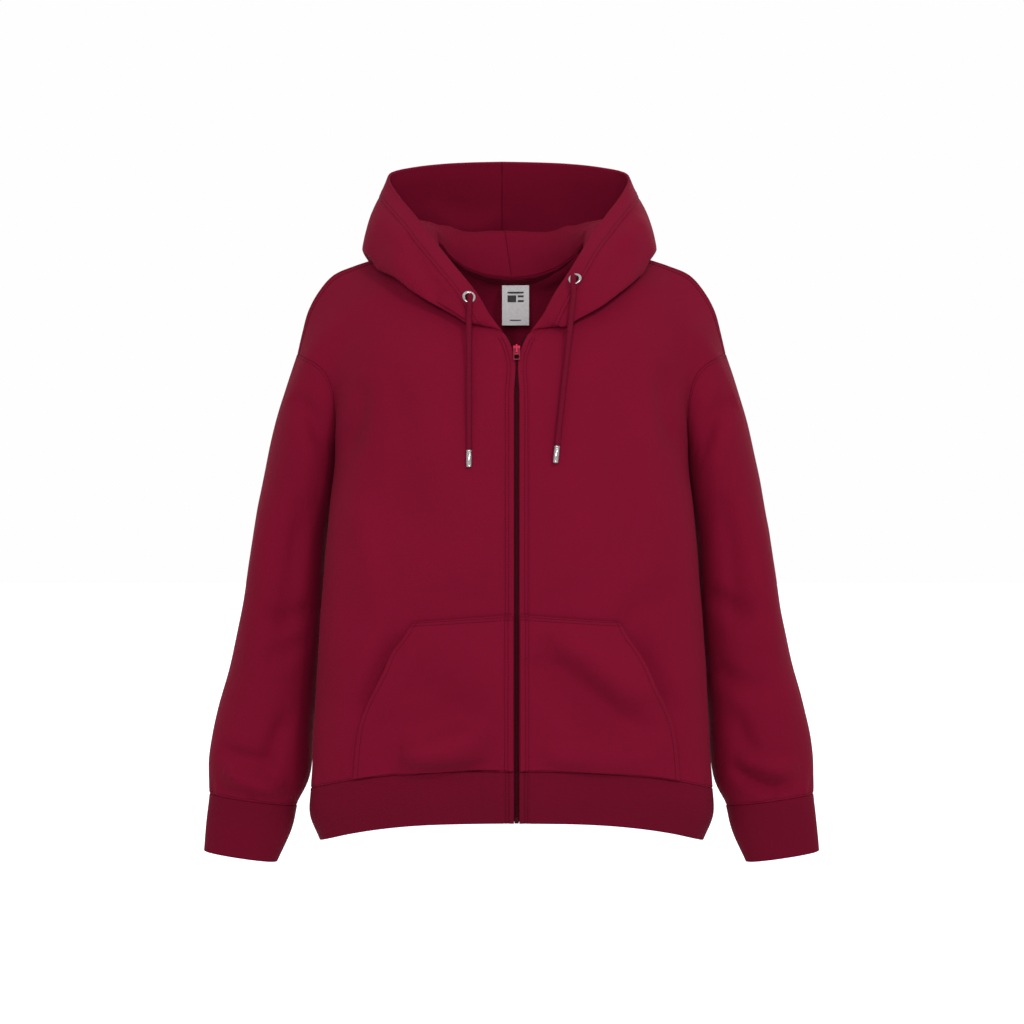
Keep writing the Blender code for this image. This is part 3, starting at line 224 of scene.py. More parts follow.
# Soft folds. Each row: the face it is on, three points of its line as x and z, how far it
# stands out of the cloth or sinks into it, and its half width.
CREASES = (
    # the right-hand pocket's long slanting hollow, and the swelling above the band
    ("front", (0.020, -0.475), (0.090, -0.535), (0.168, -0.592), -0.0036, 0.020),
    ("front", (0.050, -0.468), (0.115, -0.505), (0.160, -0.548), 0.0018, 0.016),
    ("front", (0.040, -0.600), (0.100, -0.612), (0.165, -0.618), 0.0026, 0.014),
    ("front", (-0.140, -0.612), (-0.085, -0.604), (-0.020, -0.590), 0.0044, 0.017),
    ("front", (-0.115, -0.628), (-0.060, -0.626), (-0.012, -0.617), -0.0022, 0.008),
    ("front", (-0.120, -0.500), (-0.080, -0.540), (-0.030, -0.560), -0.0016, 0.020),
    # beside the pockets' openings
    ("front", (-0.128, -0.460), (-0.156, -0.520), (-0.186, -0.570), -0.0040, 0.012),
    ("front", (0.144, -0.462), (0.168, -0.520), (0.200, -0.570), -0.0024, 0.010),
    # down the chest and the sides
    ("front", (-0.150, -0.130), (-0.128, -0.230), (-0.140, -0.350), -0.0018, 0.026),
    ("front", (0.145, -0.120), (0.120, -0.230), (0.138, -0.370), -0.0020, 0.028),
    ("front", (-0.078, -0.200), (-0.060, -0.300), (-0.075, -0.420), 0.0014, 0.030),
    ("front", (0.050, -0.260), (0.070, -0.350), (0.060, -0.440), 0.0014, 0.030),
    ("front", (0.190, -0.400), (0.150, -0.440), (0.110, -0.450), -0.0014, 0.018),
    ("front", (-0.195, -0.300), (-0.165, -0.370), (-0.170, -0.450), 0.0020, 0.018),
    # where the arms come out of the body
    ("front", (-0.196, -0.262), (-0.180, -0.215), (-0.176, -0.165), -0.0024, 0.013),
    ("front", (0.198, -0.262), (0.183, -0.210), (0.178, -0.150), -0.0026, 0.013),
    ("front", (-0.226, -0.255), (-0.235, -0.215), (-0.262, -0.185), -0.0026, 0.011),
    ("front", (0.228, -0.262), (0.238, -0.215), (0.268, -0.190), -0.0028, 0.011),
    # the sleeves: long shallow hollows, the elbows and the swelling over the cuffs
    ("front", (-0.246, -0.300), (-0.262, -0.400), (-0.276, -0.500), -0.0028, 0.016),
    ("front", (0.250, -0.300), (0.262, -0.390), (0.270, -0.470), -0.0026, 0.017),
    ("front", (-0.290, -0.300), (-0.305, -0.400), (-0.318, -0.520), 0.0016, 0.018),
    ("front", (0.295, -0.330), (0.305, -0.430), (0.315, -0.520), 0.0018, 0.018),
    ("front", (-0.235, -0.430), (-0.262, -0.452), (-0.300, -0.446), -0.0030, 0.010),
    ("front", (-0.238, -0.466), (-0.268, -0.492), (-0.305, -0.500), -0.0024, 0.010),
    ("front", (0.236, -0.415), (0.266, -0.442), (0.304, -0.436), -0.0030, 0.010),
    ("front", (0.240, -0.505), (0.275, -0.530), (0.318, -0.530), -0.0024, 0.011),
    ("front", (-0.262, -0.560), (-0.282, -0.600), (-0.292, -0.645), -0.0024, 0.011),
    ("front", (0.262, -0.555), (0.280, -0.600), (0.300, -0.640), -0.0020, 0.012),
    ("front", (-0.345, -0.632), (-0.310, -0.648), (-0.268, -0.655), 0.0040, 0.010),
    ("front", (-0.350, -0.605), (-0.318, -0.618), (-0.282, -0.622), -0.0022, 0.009),
    ("front", (0.262, -0.628), (0.296, -0.648), (0.335, -0.655), -0.0036, 0.007),
    ("front", (0.270, -0.612), (0.305, -0.628), (0.345, -0.634), 0.0036, 0.010),
    # the hood's outer wall
    ("front", (-0.124, 0.005), (-0.098, -0.045), (-0.070, -0.085), -0.0022, 0.010),
    ("front", (-0.146, -0.010), (-0.124, -0.045), (-0.100, -0.068), 0.0016, 0.010),
    ("front", (0.140, 0.000), (0.122, -0.035), (0.095, -0.062), -0.0016, 0.011),
    ("front", (0.158, 0.030), (0.146, 0.005), (0.128, -0.012), 0.0016, 0.012),
    # the back
    ("back", (-0.085, -0.120), (-0.112, -0.230), (-0.100, -0.360), -0.0030, 0.022),
    ("back", (0.090, -0.125), (0.108, -0.245), (0.092, -0.380), -0.0028, 0.024),
    ("back", (-0.030, -0.150), (0.004, -0.170), (0.040, -0.148), -0.0020, 0.016),
    ("back", (0.192, -0.285), (0.145, -0.335), (0.075, -0.352), -0.0030, 0.013),
    ("back", (-0.190, -0.290), (-0.150, -0.350), (-0.090, -0.372), -0.0026, 0.013),
    ("back", (-0.160, -0.560), (-0.020, -0.588), (0.130, -0.566), -0.0030, 0.016),
    ("back", (-0.120, -0.606), (0.010, -0.618), (0.150, -0.604), 0.0036, 0.012),
    ("back", (-0.070, -0.440), (-0.010, -0.470), (0.070, -0.452), -0.0018, 0.020),
    ("back", (-0.246, -0.320), (-0.262, -0.400), (-0.272, -0.480), -0.0026, 0.015),
    ("back", (0.248, -0.310), (0.260, -0.400), (0.274, -0.500), -0.0026, 0.015),
    ("back", (0.238, -0.420), (0.275, -0.450), (0.318, -0.440), -0.0034, 0.009),
    ("back", (0.240, -0.452), (0.278, -0.488), (0.322, -0.492), -0.0026, 0.010),
    ("back", (-0.236, -0.440), (-0.272, -0.470), (-0.316, -0.462), -0.0034, 0.009),
    ("back", (-0.240, -0.480), (-0.280, -0.510), (-0.324, -0.506), -0.0024, 0.010),
    ("back", (0.262, -0.640), (0.305, -0.655), (0.350, -0.645), 0.0036, 0.010),
    ("back", (-0.262, -0.636), (-0.305, -0.652), (-0.350, -0.642), 0.0036, 0.010),
    ("back", (-0.110, 0.060), (-0.060, 0.030), (0.000, 0.050), -0.0024, 0.013),
    ("back", (0.020, -0.040), (0.070, -0.020), (0.110, 0.010), -0.0024, 0.013),
    ("back", (-0.090, -0.070), (-0.040, -0.095), (0.020, -0.080), -0.0022, 0.014),
)

# The pockets' own folds, over those of the fronts behind them.
POCKET_CREASES = (
    ("front", (0.024, -0.490), (0.062, -0.545), (0.128, -0.590), -0.0026, 0.016),
    ("front", (0.040, -0.466), (0.095, -0.500), (0.150, -0.555), 0.0020, 0.018),
    ("front", (-0.130, -0.606), (-0.082, -0.598), (-0.018, -0.578), 0.0034, 0.018),
    ("front", (-0.105, -0.632), (-0.055, -0.628), (-0.010, -0.612), -0.0012, 0.009),
    ("front", (0.030, -0.610), (0.090, -0.624), (0.160, -0.630), 0.0016, 0.012),
)


# ---- curves and rows -------------------------------------------------------------------------
def through(points, knots, places):
    """A smooth curve through the points, one at each knot, read at the places."""
    points, knots = np.asarray(points, float), np.asarray(knots, float)
    places = np.clip(np.asarray(places, float), knots[0], knots[-1])
    shape = (-1,) + (1,) * (points.ndim - 1)
    step = np.diff(knots).reshape(shape)
    slope = np.diff(points, axis=0) / step
    lean = np.concatenate([slope[:1], slope[:1], slope[1:]])[: len(points)]
    lean[1:-1] = (slope[:-1] * step[1:] + slope[1:] * step[:-1]) / (step[:-1] + step[1:])
    lean[-1] = slope[-1]
    at = np.clip(np.searchsorted(knots, places, side="right") - 1, 0, len(knots) - 2)
    wide = (knots[at + 1] - knots[at]).reshape(shape)
    t = (places - knots[at]).reshape(shape) / wide
    return (
        (2 * t**3 - 3 * t**2 + 1) * points[at]
        + (t**3 - 2 * t**2 + t) * wide * lean[at]
        + (3 * t**2 - 2 * t**3) * points[at + 1]
        + (t**3 - t**2) * wide * lean[at + 1]
    )


def along(points):
    """How far along a line of points each one is, from 0 to 1."""
    steps = np.linalg.norm(np.diff(points, axis=0), axis=1)
    return np.concatenate([[0.0], np.cumsum(steps)]) / steps.sum()


def evenly(points, count, shares=None):
    """Points at even steps, or at the given shares, along a smooth line."""
    dense = through(points, along(np.asarray(points, float)), np.linspace(0, 1, 400))
    return on_line(dense, np.linspace(0, 1, count + 1) if shares is None else shares)


def on_line(dense, shares):
    far = along(dense)
    return np.stack([np.interp(shares, far, dense[:, k]) for k in range(3)], axis=1)


def loft(rows, steps):
    """Rows laid smoothly through the given rows, with so many steps from each to the next."""
    rows = np.asarray(rows, float)
    gaps = np.linalg.norm(np.diff(rows, axis=0), axis=2).mean(axis=1)
    knots = np.concatenate([[0.0], np.cumsum(gaps)])
    places = [
        a + (b - a) * k / n
        for a, b, n in zip(knots[:-1], knots[1:], steps, strict=True)
        for k in range(n)
    ]
    return through(rows, knots, places + [knots[-1]])


def torso_line(level, part):
    """The torso's outline at one level: its front or back, from the middle to the side seam."""
    table = np.array(TORSO)
    half, front, back, seam, side_drop, rear_drop = through(
        table[:, 1:], table[:, 0], [level]
    )[0]
    turn = np.linspace(0, math.pi, 1201)
    s, c = np.sin(turn), np.cos(turn)
    power = np.where(c > 0, 2 / SIDE_CURVE, 2 / BACK_CURVE)
    deep = np.where(c > 0, MIDDLE_Y - front, back - MIDDLE_Y)
    x = half * s**power
    y = MIDDLE_Y - deep * np.sign(c) * np.abs(c) ** power
    z = level - side_drop * s**2 - rear_drop * (1 - c) / 2
    line = np.stack([x, y, z], axis=1)
    cut = int(np.argmin(np.abs(y - seam) + (x < half / 2)))
    if part == "back":
        return line[cut:][::-1]
    ahead = line[: cut + 1]
    return np.concatenate([[(EDGE, front, level)], ahead[ahead[:, 0] > EDGE * 2]])


def sleeve_ring(outer_x, outer_z, inner_x, inner_z, middle_y, reach, shares):
    """One ring of a sleeve, from its outer side round by the front, at shares of its girth."""
    turn = np.linspace(0, 2 * math.pi, 721)
    c, s = np.cos(turn), np.sin(turn)
    c, s = np.sign(c) * np.abs(c) ** 0.92, np.sign(s) * np.abs(s) ** 0.92
    x = (outer_x + inner_x) / 2 + (outer_x - inner_x) / 2 * c
    z = (outer_z + inner_z) / 2 + (outer_z - inner_z) / 2 * c
    ring = np.stack([x, middle_y - reach * s, z], axis=1)
    return on_line(ring, shares)[:-1]


# ---- the shape of each panel, as grids of points on the wearer's left ------------------------
def front_grid():
    rows = [evenly(torso_line(z, "front"), FRONT_COLUMNS) for z in BODY_LEVELS]
    rows += [evenly(row, FRONT_COLUMNS) for row in FRONT_ROWS.values()]
    rows.append(evenly(SHOULDER_SEAM, FRONT_COLUMNS))
    rows = np.array(rows)
    return loft(rows, (2, 2, 2, 2) + FRONT_STEPS)


def back_grid(front):
    """Half of the back, from its middle to the side, sharing the front's side seam."""
    columns = NECK_COLUMNS + FRONT_COLUMNS
    rows = [evenly(torso_line(z, "back"), columns) for z in BODY_LEVELS]
    rows += [evenly(row, columns) for row in BACK_ROWS.values()]
    top = np.concatenate([evenly(BACK_NECK, NECK_COLUMNS)[:-1], front[-1]])
    rows = np.array(rows + [top])
    rows[:, 0, 0] = 0.0
    grid = loft(rows, (2, 2, 2, 2) + BACK_STEPS)
    seam_rows = 9  # from the band to the underarm
    shift = front[:seam_rows, -1] - grid[:seam_rows, -1]
    blend = np.linspace(0, 1, columns + 1) ** 6
    grid[:seam_rows] += blend[None, :, None] * shift[:, None, :]
    return grid


def band_grid(columns, part):
    rows = [evenly(torso_line(z, part), columns) for z in BAND_LEVELS]
    if part == "back":
        for row in rows:
            row[0, 0] = 0.0
    return np.array(rows)


def sleeve_grid(front, back):
    """Rings from the armhole seam to the cuff seam. The first is the armhole itself."""
    under = 8
    armhole = np.concatenate([front[under:, -1][::-1], back[under + 1 : -1, -1]])
    closed = np.concatenate([armhole, armhole[:1]])
    own, even = along(closed), np.linspace(0, 1, SLEEVE_SIDES + 1)
    rings = [armhole]
    for k, row in enumerate(SLEEVE):
        keep = max(0.0, 1 - k / 3)
        rings.append(sleeve_ring(*row, own * keep + even * (1 - keep)))
    return loft(rings, SLEEVE_STEPS)


def cuff_grid(sleeve):
    even = np.linspace(0, 1, SLEEVE_SIDES + 1)
    return loft([sleeve[-1]] + [sleeve_ring(*row, even) for row in CUFF], (1, 1))


def hood_grid(front, back, lean):
    """From the neck seam to the opening's edge, by columns from the front to the back."""
    collar = np.concatenate([front[12:, 0], back[-1, NECK_COLUMNS - 1 :: -1]])
    share = along(collar[1:])
    table = [row[0] for row in HOOD]
    shape = np.array([row[1:] for row in HOOD])
    sag = np.interp(table, (0.1, 0.3, 0.45, 0.6), (0.3, 1.0, 1.0, 0.0)) * lean
    shape[:, 2, 1:] -= np.stack([sag / 2, sag], axis=1)
    shape[:, 3, 1:] -= np.stack([sag / 2, sag / 2], axis=1)
    places = sorted(set(share) | set((share[:-1] + share[1:]) / 2))
    seam = np.stack([np.interp(places, share, collar[1:, k]) for k in range(3)], axis=1)
    shares = np.linspace(0, 1, HOOD_ROWS + 1)
    columns = [collar[1] + (collar[0] - collar[1]) * shares[:, None]]
    for place, start in zip(places[1:], seam[1:], strict=True):
        marks = through(shape, table, [place])[0]
        if place < table[0]:
            pull = place / table[0]
            rest = on_line(np.array([start, collar[1], collar[0]]), (0.15, 0.3, 0.5, 0.7, 1))
            marks = marks * pull**0.7 + rest * (1 - pull**0.7)
        columns.append(evenly(np.concatenate([[start], marks]), HOOD_ROWS))
    grid = np.stack(columns, axis=1)
    slip = np.array([0.0, *places[1:]]) ** 4 * HOOD_SEAM_X
    return grid, slip[None, :] * np.clip(shares * 6, 0, 1)[:, None]


def mirrored(grid):
    return grid * np.array([-1.0, 1.0, 1.0])


def hang_zip(grid):
    """Moves the middle of the front across to where the zip hangs."""
    out = grid.copy()
    share = 1 - np.clip(np.abs(grid[..., 0]) / SHOULDER_SEAM[0][0], 0, 1) ** 3
    ahead = np.clip(-grid[..., 1] / HANG_REACH, 0, 1)
    out[..., 0] += ZIP_X * share * ahead
    return out


# ---- walls -----------------------------------------------------------------------------------
def unit(v):
    return v / np.maximum(np.linalg.norm(v, axis=-1, keepdims=True), 1e-12)


def facing(grid, wrap):
    """The average direction that the faces round each point look in."""
    g = np.concatenate([grid, grid[:, :1]], axis=1) if wrap else grid
    n = np.cross(g[1:, 1:] - g[:-1, :-1], g[1:, :-1] - g[:-1, 1:])
    size = np.linalg.norm(n, axis=-1, keepdims=True)
    n = np.where(size > 1e-9, n / np.maximum(size, 1e-12), 0)
    out = np.zeros_like(g)
    for a in (slice(None, -1), slice(1, None)):
        for b in (slice(None, -1), slice(1, None)):
            out[a, b] += n
    if wrap:
        out[:, 0] += out[:, -1]
        out = out[:, :-1]
    return unit(out)


def spot(point):
    return tuple(int(round(c * 20000)) for c in point)


def share_facing(panels):
    """One direction for each point that several panels share, so that their walls meet."""
    total, count = {}, {}
    own = {name: facing(p["grid"], p["wrap"]) * p["side"] for name, p in panels.items()}
    for name, p in panels.items():
        for point, n in zip(p["grid"].reshape(-1, 3), own[name].reshape(-1, 3), strict=True):
            at = spot(point)
            total[at] = total.get(at, 0) + n
            count[at] = count.get(at, 0) + 1
    for name, p in panels.items():
        out = own[name].copy()
        for i in np.ndindex(out.shape[:2]):
            at = spot(p["grid"][i])
            if count[at] > 1:
                n = unit(total[at])
                open_up = np.linalg.norm(total[at]) / count[at]
                out[i] = n / max(open_up, 0.7)
        p["out"] = out


# ---- surfaces --------------------------------------------------------------------------------
def surface(objects):
    """The faces of several objects, for finding where something lies on them."""
    points, faces = [], []
    for obj in objects:
        start = len(points)
        points += [v.co for v in obj.data.vertices]
        faces += [tuple(i + start for i in p.vertices) for p in obj.data.polygons]
    return BVHTree.FromPolygons(points, faces)


def from_front(tree, x, z):
    """The first point met, coming from in front at this x and z, and the way it faces."""
    place, normal, _, _ = tree.ray_cast(Vector((x, -1.0, z)), Vector((0, 1, 0)))
    if normal is not None and normal.y > 0:
        normal = -normal
    return place, normal


# ---- cloth panels ----------------------------------------------------------------------------
front = front_grid()
back_half = back_grid(front)
sleeve = sleeve_grid(front, back_half)
cuff = cuff_grid(sleeve)
band_front = band_grid(FRONT_COLUMNS, "front")
band_back = band_grid(NECK_COLUMNS + FRONT_COLUMNS, "back")
band_front[0], band_back[0] = front[0], back_half[0]
band_back[:, -1] = band_front[:, -1]

grids = {
    "front_right": (hang_zip(front), False, 1),
    "front_left": (hang_zip(mirrored(front)), False, -1),
    "back": (
        np.concatenate([mirrored(back_half[:, :0:-1]), back_half], axis=1), False, -1),
    "sleeve_right": (sleeve, True, 1),
    "sleeve_left": (mirrored(sleeve), True, -1),
    "cuff_right": (cuff, True, 1),
    "cuff_left": (mirrored(cuff), True, -1),
    "waistband": (
        np.concatenate(
            [
                hang_zip(band_front),
                band_back[:, -2::-1],
                mirrored(band_back[:, 1:-1]),
                hang_zip(mirrored(band_front[:, ::-1])),
            ],
            axis=1,
        ), False, -1),
}
for side, lean in (("right", HOOD_LEAN), ("left", -HOOD_LEAN)):
    grid, slip = hood_grid(front, back_half, lean)
    grid = hang_zip(grid if side == "right" else mirrored(grid))
    grid[..., 0] += slip
    grids["hood_" + side] = (grid, False, 1 if side == "right" else -1)

panels = {
    name: {"grid": grid, "wrap": wrap, "side": face}
    for name, (grid, wrap, face) in grids.items()
}


def outward(panel, test):
    """Turns a panel's facing round where it looks the wrong way at a test point."""
    r, c, away = test
    if (facing(panel["grid"], panel["wrap"])[r, c] * panel["side"]) @ np.array(away) < 0:
        panel["side"] *= -1


for name, panel in panels.items():
    sign = -1 if "left" in name else 1
    outward(
        panel,
        {
            "front": (6, 2, (0, -1, 0)),
            "back": (6, 12, (0, 1, 0)),
            "sleeve": (8, 0, (sign, 0, 0)),
            "cuff": (1, 0, (sign, 0, 0)),
            "waistband": (1, 3, (0, -1, 0)),
            "hood": (12, 12, (sign, 0, 0)),
        }[name.split("_")[0]],
    )
share_facing(panels)

# Between the neckline's own points the hood's seam lies straight, and so does its wall.
for side in ("left", "right"):
    hood, body = panels["hood_" + side], panels["front_" + side]
    out = hood["out"]
    out[0, 1:-1:2] = (out[0, 0:-2:2] + out[0, 2::2]) / 2
    share = np.linspace(0, 1, HOOD_ROWS + 1)[:, None]
    out[:, 0] = out[0, 0] * (1 - share) + body["out"][12, 0] * share


# ---- fine cloth ------------------------------------------------------------------------------
STEPS = {"hood": 4, "cuff": 10, "waistband": 12}  # fine steps for each of a panel's own
BODY_STEPS = 6
NEAR_EDGE = (0.0006, 0.0014, 0.0026)  # extra rows this far from each edge
NEAR_ZIP = (0.0006, 0.0014, 0.0028, 0.0050, 0.0064, 0.0076, 0.0090, 0.0104, 0.0116, 0.0130)
EDGE_ROUND = 0.0013  # radius of the cloth's cut and turned edges
ZIP_NEEDLES = (0.0068, 0.0108)  # the twin rows of stitching, in from a front's zip edge
HOOD_HEM = 0.025
NECK_NEEDLES = (0.0030, 0.0085)  # the twin rows below the neck seam
STITCH_LONG, STITCH_GAP, THREAD = 0.0027, 0.0008, 0.00036
LOOK_ON = 0.001  # how far on and back a stitch looks for the way its line runs
FOLD_DEPTH = 2.9  # all the soft folds' depths are taken this many times over
PUCKER = 0.0011  # how far the cloth ripples where it is gathered into the rib
PUCKER_REACH = 0.016  # and how far up from the rib
NEEDLE_DIP, NEEDLE_WIDE = 0.0011, 0.0012  # the dip that a row of stitching pulls in the cloth
NECK_STILL = 0.03  # the folds fade out this near the neck seam
TOOTH_PITCH, TOOTH_TALL, TOOTH_DEEP = 0.0014, 0.0010, 0.0021
SHUT_TOOTH_WIDE, LONE_TOOTH_WIDE = 0.0030, 0.0024
ZIP_FOOT, ZIP_END = -0.6795, -0.1200  # the heights of the lowest tooth and past the highest
SLIDER_CLEAR = 0.0040  # no open teeth this near above the slider's middle


def read_at(place, far, values):
    """The point of a line, or the direction beside it, that is this far along."""
    return np.array([np.interp(place, far, values[:, k]) for k in range(values.shape[1])])


def lengths(points):
    """How far along each line of points each one is; the lines run down the first axis."""
    steps = np.linalg.norm(np.diff(points, axis=0), axis=-1)
    return np.concatenate([np.zeros((1,) + steps.shape[1:]), np.cumsum(steps, axis=0)])


def fine_places(knots, step, near_first, near_last, first, last):
    """Even places among the knots, and some more close to each end."""
    index = np.linspace(first, last, (last - first) * step + 1)
    places = list(np.interp(index, np.arange(len(knots)), knots))
    for place in [knots[first] + d for d in near_first] + [knots[last] - d for d in near_last]:
        places = [p for p in places if abs(p - place) > 0.0005 or p in (places[0], places[-1])]
        places.append(place)
    return np.array(sorted(places))


def read_finely(values, shape_of, step, near_first=NEAR_EDGE, near_last=NEAR_EDGE, wrap=False):
    """A grid read again with more rows, spaced as the rows of another grid are."""
    pad = 3 if wrap else 0
    if wrap:
        values = np.concatenate([values[-pad:], values, values[: pad + 1]])
        shape_of = np.concatenate([shape_of[-pad:], shape_of, shape_of[: pad + 1]])
        near_first = near_last = ()
    knots = lengths(shape_of).mean(axis=1)
    first, last = pad, len(knots) - 1 - pad
    places = fine_places(knots, step, near_first, near_last, first, last)
    if wrap:
        places = places[:-1]
    return through(values, knots, places), places - places[0]


def finer(panel, step, near):
    """A panel's points and facings read finely both ways, with its distances each way."""
    grid, out, wrap = panel["grid"], panel["out"], panel["wrap"]
    rows, v = read_finely(grid, grid, step, near["top"], near["bottom"])
    ways, _ = read_finely(out, grid, step, near["top"], near["bottom"])
    across, shape = np.swapaxes(rows, 0, 1), np.swapaxes(rows, 0, 1)
    fine, u = read_finely(across, shape, step, near["first"], near["last"], wrap)
    facings, _ = read_finely(np.swapaxes(ways, 0, 1), shape, step, near["first"], near["last"],
                             wrap)
    size = np.linalg.norm(facings, axis=-1, keepdims=True)
    return np.swapaxes(fine, 0, 1), np.swapaxes(facings / size, 0, 1), u, v


def meet(grid, *lines):
    """Brings a panel's first row onto its neighbours' seam lines, fading over a few rows."""
    fade = (1.0, 0.9, 0.75, 0.6, 0.4, 0.2, 0.1)
    for c in range(grid.shape[1]):
        best, near = None, 0.006
        for line in lines:
            a, b = line[:-1], line[1:]
            t = ((grid[0, c] - a) * (b - a)).sum(1) / np.maximum(((b - a) ** 2).sum(1), 1e-12)
            on = a + (b - a) * np.clip(t, 0, 1)[:, None]
            far = np.linalg.norm(on - grid[0, c], axis=1)
            if far.min() < near:
                best, near = on[far.argmin()], far.min()
        if best is not None:
            shift = best - grid[0, c]
            for k, share in enumerate(fade[: len(grid)]):
                grid[k, c] += share * shift


def folds(points, out, creases=CREASES):
    """How far the soft folds move each point of the cloth out, or in."""
    move = np.zeros(points.shape[:-1])
    for face, start, middle, end, height, half in creases:
        t = np.linspace(0, 1, 25)[:, None]
        line = (
            np.array(start) * (1 - t) * (1 - 2 * t)
            + np.array(middle) * 4 * t * (1 - t)
            + np.array(end) * t * (2 * t - 1)
        )
        low, high = line.min(0) - 3 * half, line.max(0) + 3 * half
        flat = points[..., (0, 2)]
        inside = ((flat > low) & (flat < high)).all(-1)
        if not inside.any():
            continue
        gap = flat[inside][:, None] - line[None]
        far = np.linalg.norm(gap, axis=-1)
        at = far.argmin(axis=1) / 24
        fade = np.clip(np.minimum(at, 1 - at) / 0.3, 0, 1)
        fade = fade * fade * (3 - 2 * fade) * 0.75 + 0.25 * np.clip(fade * 4, 0, 1)
        side = -out[inside][:, 1] if face == "front" else out[inside][:, 1]
        seen = np.clip(side * 2.2, 0, 1)
        move[inside] += FOLD_DEPTH * height * np.exp(-((far.min(axis=1) / half) ** 2)) * fade * seen
    x, y, z = np.moveaxis(points, -1, 0)
    move += 0.00035 * (
        np.sin(31 * x + 17 * z + 1.3) * np.sin(23 * z - 29 * y + 0.4)
        + np.sin(57 * x - 41 * z + 2.1) * np.sin(37 * y + 49 * z)
    )
    return move


def ripple(far_round, far_in):
    """The small uneven gathers of a panel where it is sewn into the rib."""
    waves = (
        np.sin(far_round * 205 + 0.7)
        + 0.7 * np.sin(far_round * 331 + 2.9)
        + 0.5 * np.sin(far_round * 127 + 1.1)
    )
    return PUCKER * waves * np.exp(-((far_in / PUCKER_REACH) ** 2)) * (1 - np.exp(-far_in / 0.003))


def cloth(name, grid, out, u, v, thick, kind, wrap=False, dips=None):
    """A thin shell about a fine grid of points, with rounded edges and its folds in it."""
    rows, columns = grid.shape[:2]
    down, over = lengths(grid), np.swapaxes(lengths(np.swapaxes(grid, 0, 1)), 0, 1)
    edges = {"top": down, "bottom": down[-1:] - down}
    if not wrap:
        edges |= {"first": over, "last": over[:, -1:] - over}
    near = np.min(list(edges.values()), axis=0)
    round_off = np.sqrt(1 - (1 - np.clip(near / EDGE_ROUND, 0, 1)) ** 2) * 0.86 + 0.14
    half = np.asarray(thick, float) / 2 * round_off
    dip = np.zeros_like(near)
    for edge, needle in dips or ():
        dip += NEEDLE_DIP * np.exp(-(((edges[edge] - needle) / NEEDLE_WIDE) ** 2))
    outer = grid + out * (half - dip)[..., None]
    inner = grid - out * half[..., None]
    back = rows * columns
    points = np.concatenate([outer.reshape(-1, 3), inner.reshape(-1, 3)])
    around = columns if wrap else columns - 1
    r, c = np.meshgrid(np.arange(rows - 1), np.arange(around), indexing="ij")
    c2 = (c + 1) % columns
    quads = np.stack([r * columns + c, r * columns + c2, (r + 1) * columns + c2,
                      (r + 1) * columns + c], axis=-1).reshape(-1, 4)
    faces = [quads, quads[:, ::-1] + back]
    ends = np.arange(around)
    for row in (0, rows - 1):
        a, b = row * columns + ends, row * columns + (ends + 1) % columns
        rim = np.stack([a, b, b + back, a + back], axis=1)
        faces.append(rim[:, ::-1] if row == 0 else rim)
    if not wrap:
        ends = np.arange(rows - 1)
        for column in (0, columns - 1):
            a, b = ends * columns + column, (ends + 1) * columns + column
            rim = np.stack([a, b, b + back, a + back], axis=1)
            faces.append(rim if column == 0 else rim[:, ::-1])
    faces = np.concatenate(faces)
    seam = np.concatenate([u, [u[-1] + (u[-1] - u[-2])]]) if wrap else u
    flat_u = np.tile(u[None], (rows, 1)).ravel()
    flat_v = np.tile(v[:, None], (1, columns)).ravel()
    obj = mesh_piece(name, points, faces, kind)
    uv = np.stack([flat_u, flat_v], axis=1)[faces.ravel() % back]
    if wrap:  # where the tube closes, the last face runs on instead of back to nothing
        corner = uv.reshape(-1, 4, 2)
        jump = np.ptp(corner[..., 0], axis=1) > seam[-1] / 2
        corner[jump, :, 0] = np.where(corner[jump, :, 0] < 1e-9, seam[-1], corner[jump, :, 0])
        uv = corner.reshape(-1, 2)
    obj.data.uv_layers.new(name="UVMap").data.foreach_set("uv", uv.astype(np.float32).ravel())
    return {"obj": obj, "outer": outer, "inner": inner, "out": out, "grid": grid}


def mesh_piece(name, points, faces, kind):
    mesh = bpy.data.meshes.new(name)
    mesh.from_pydata([tuple(p) for p in np.asarray(points).tolist()], [],
                     [tuple(f) for f in (f.tolist() if hasattr(f, "tolist") else f for f in faces)])
    bm = bmesh.new()
    bm.from_mesh(mesh)
    bmesh.ops.recalc_face_normals(bm, faces=bm.faces)
    bm.to_mesh(mesh)
    bm.free()
    mesh.shade_smooth()
    mesh.materials.append(FINISH[kind])
    obj = bpy.data.objects.new(name, mesh)
    bpy.context.scene.collection.objects.link(obj)
    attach(obj, "garment")
    return obj


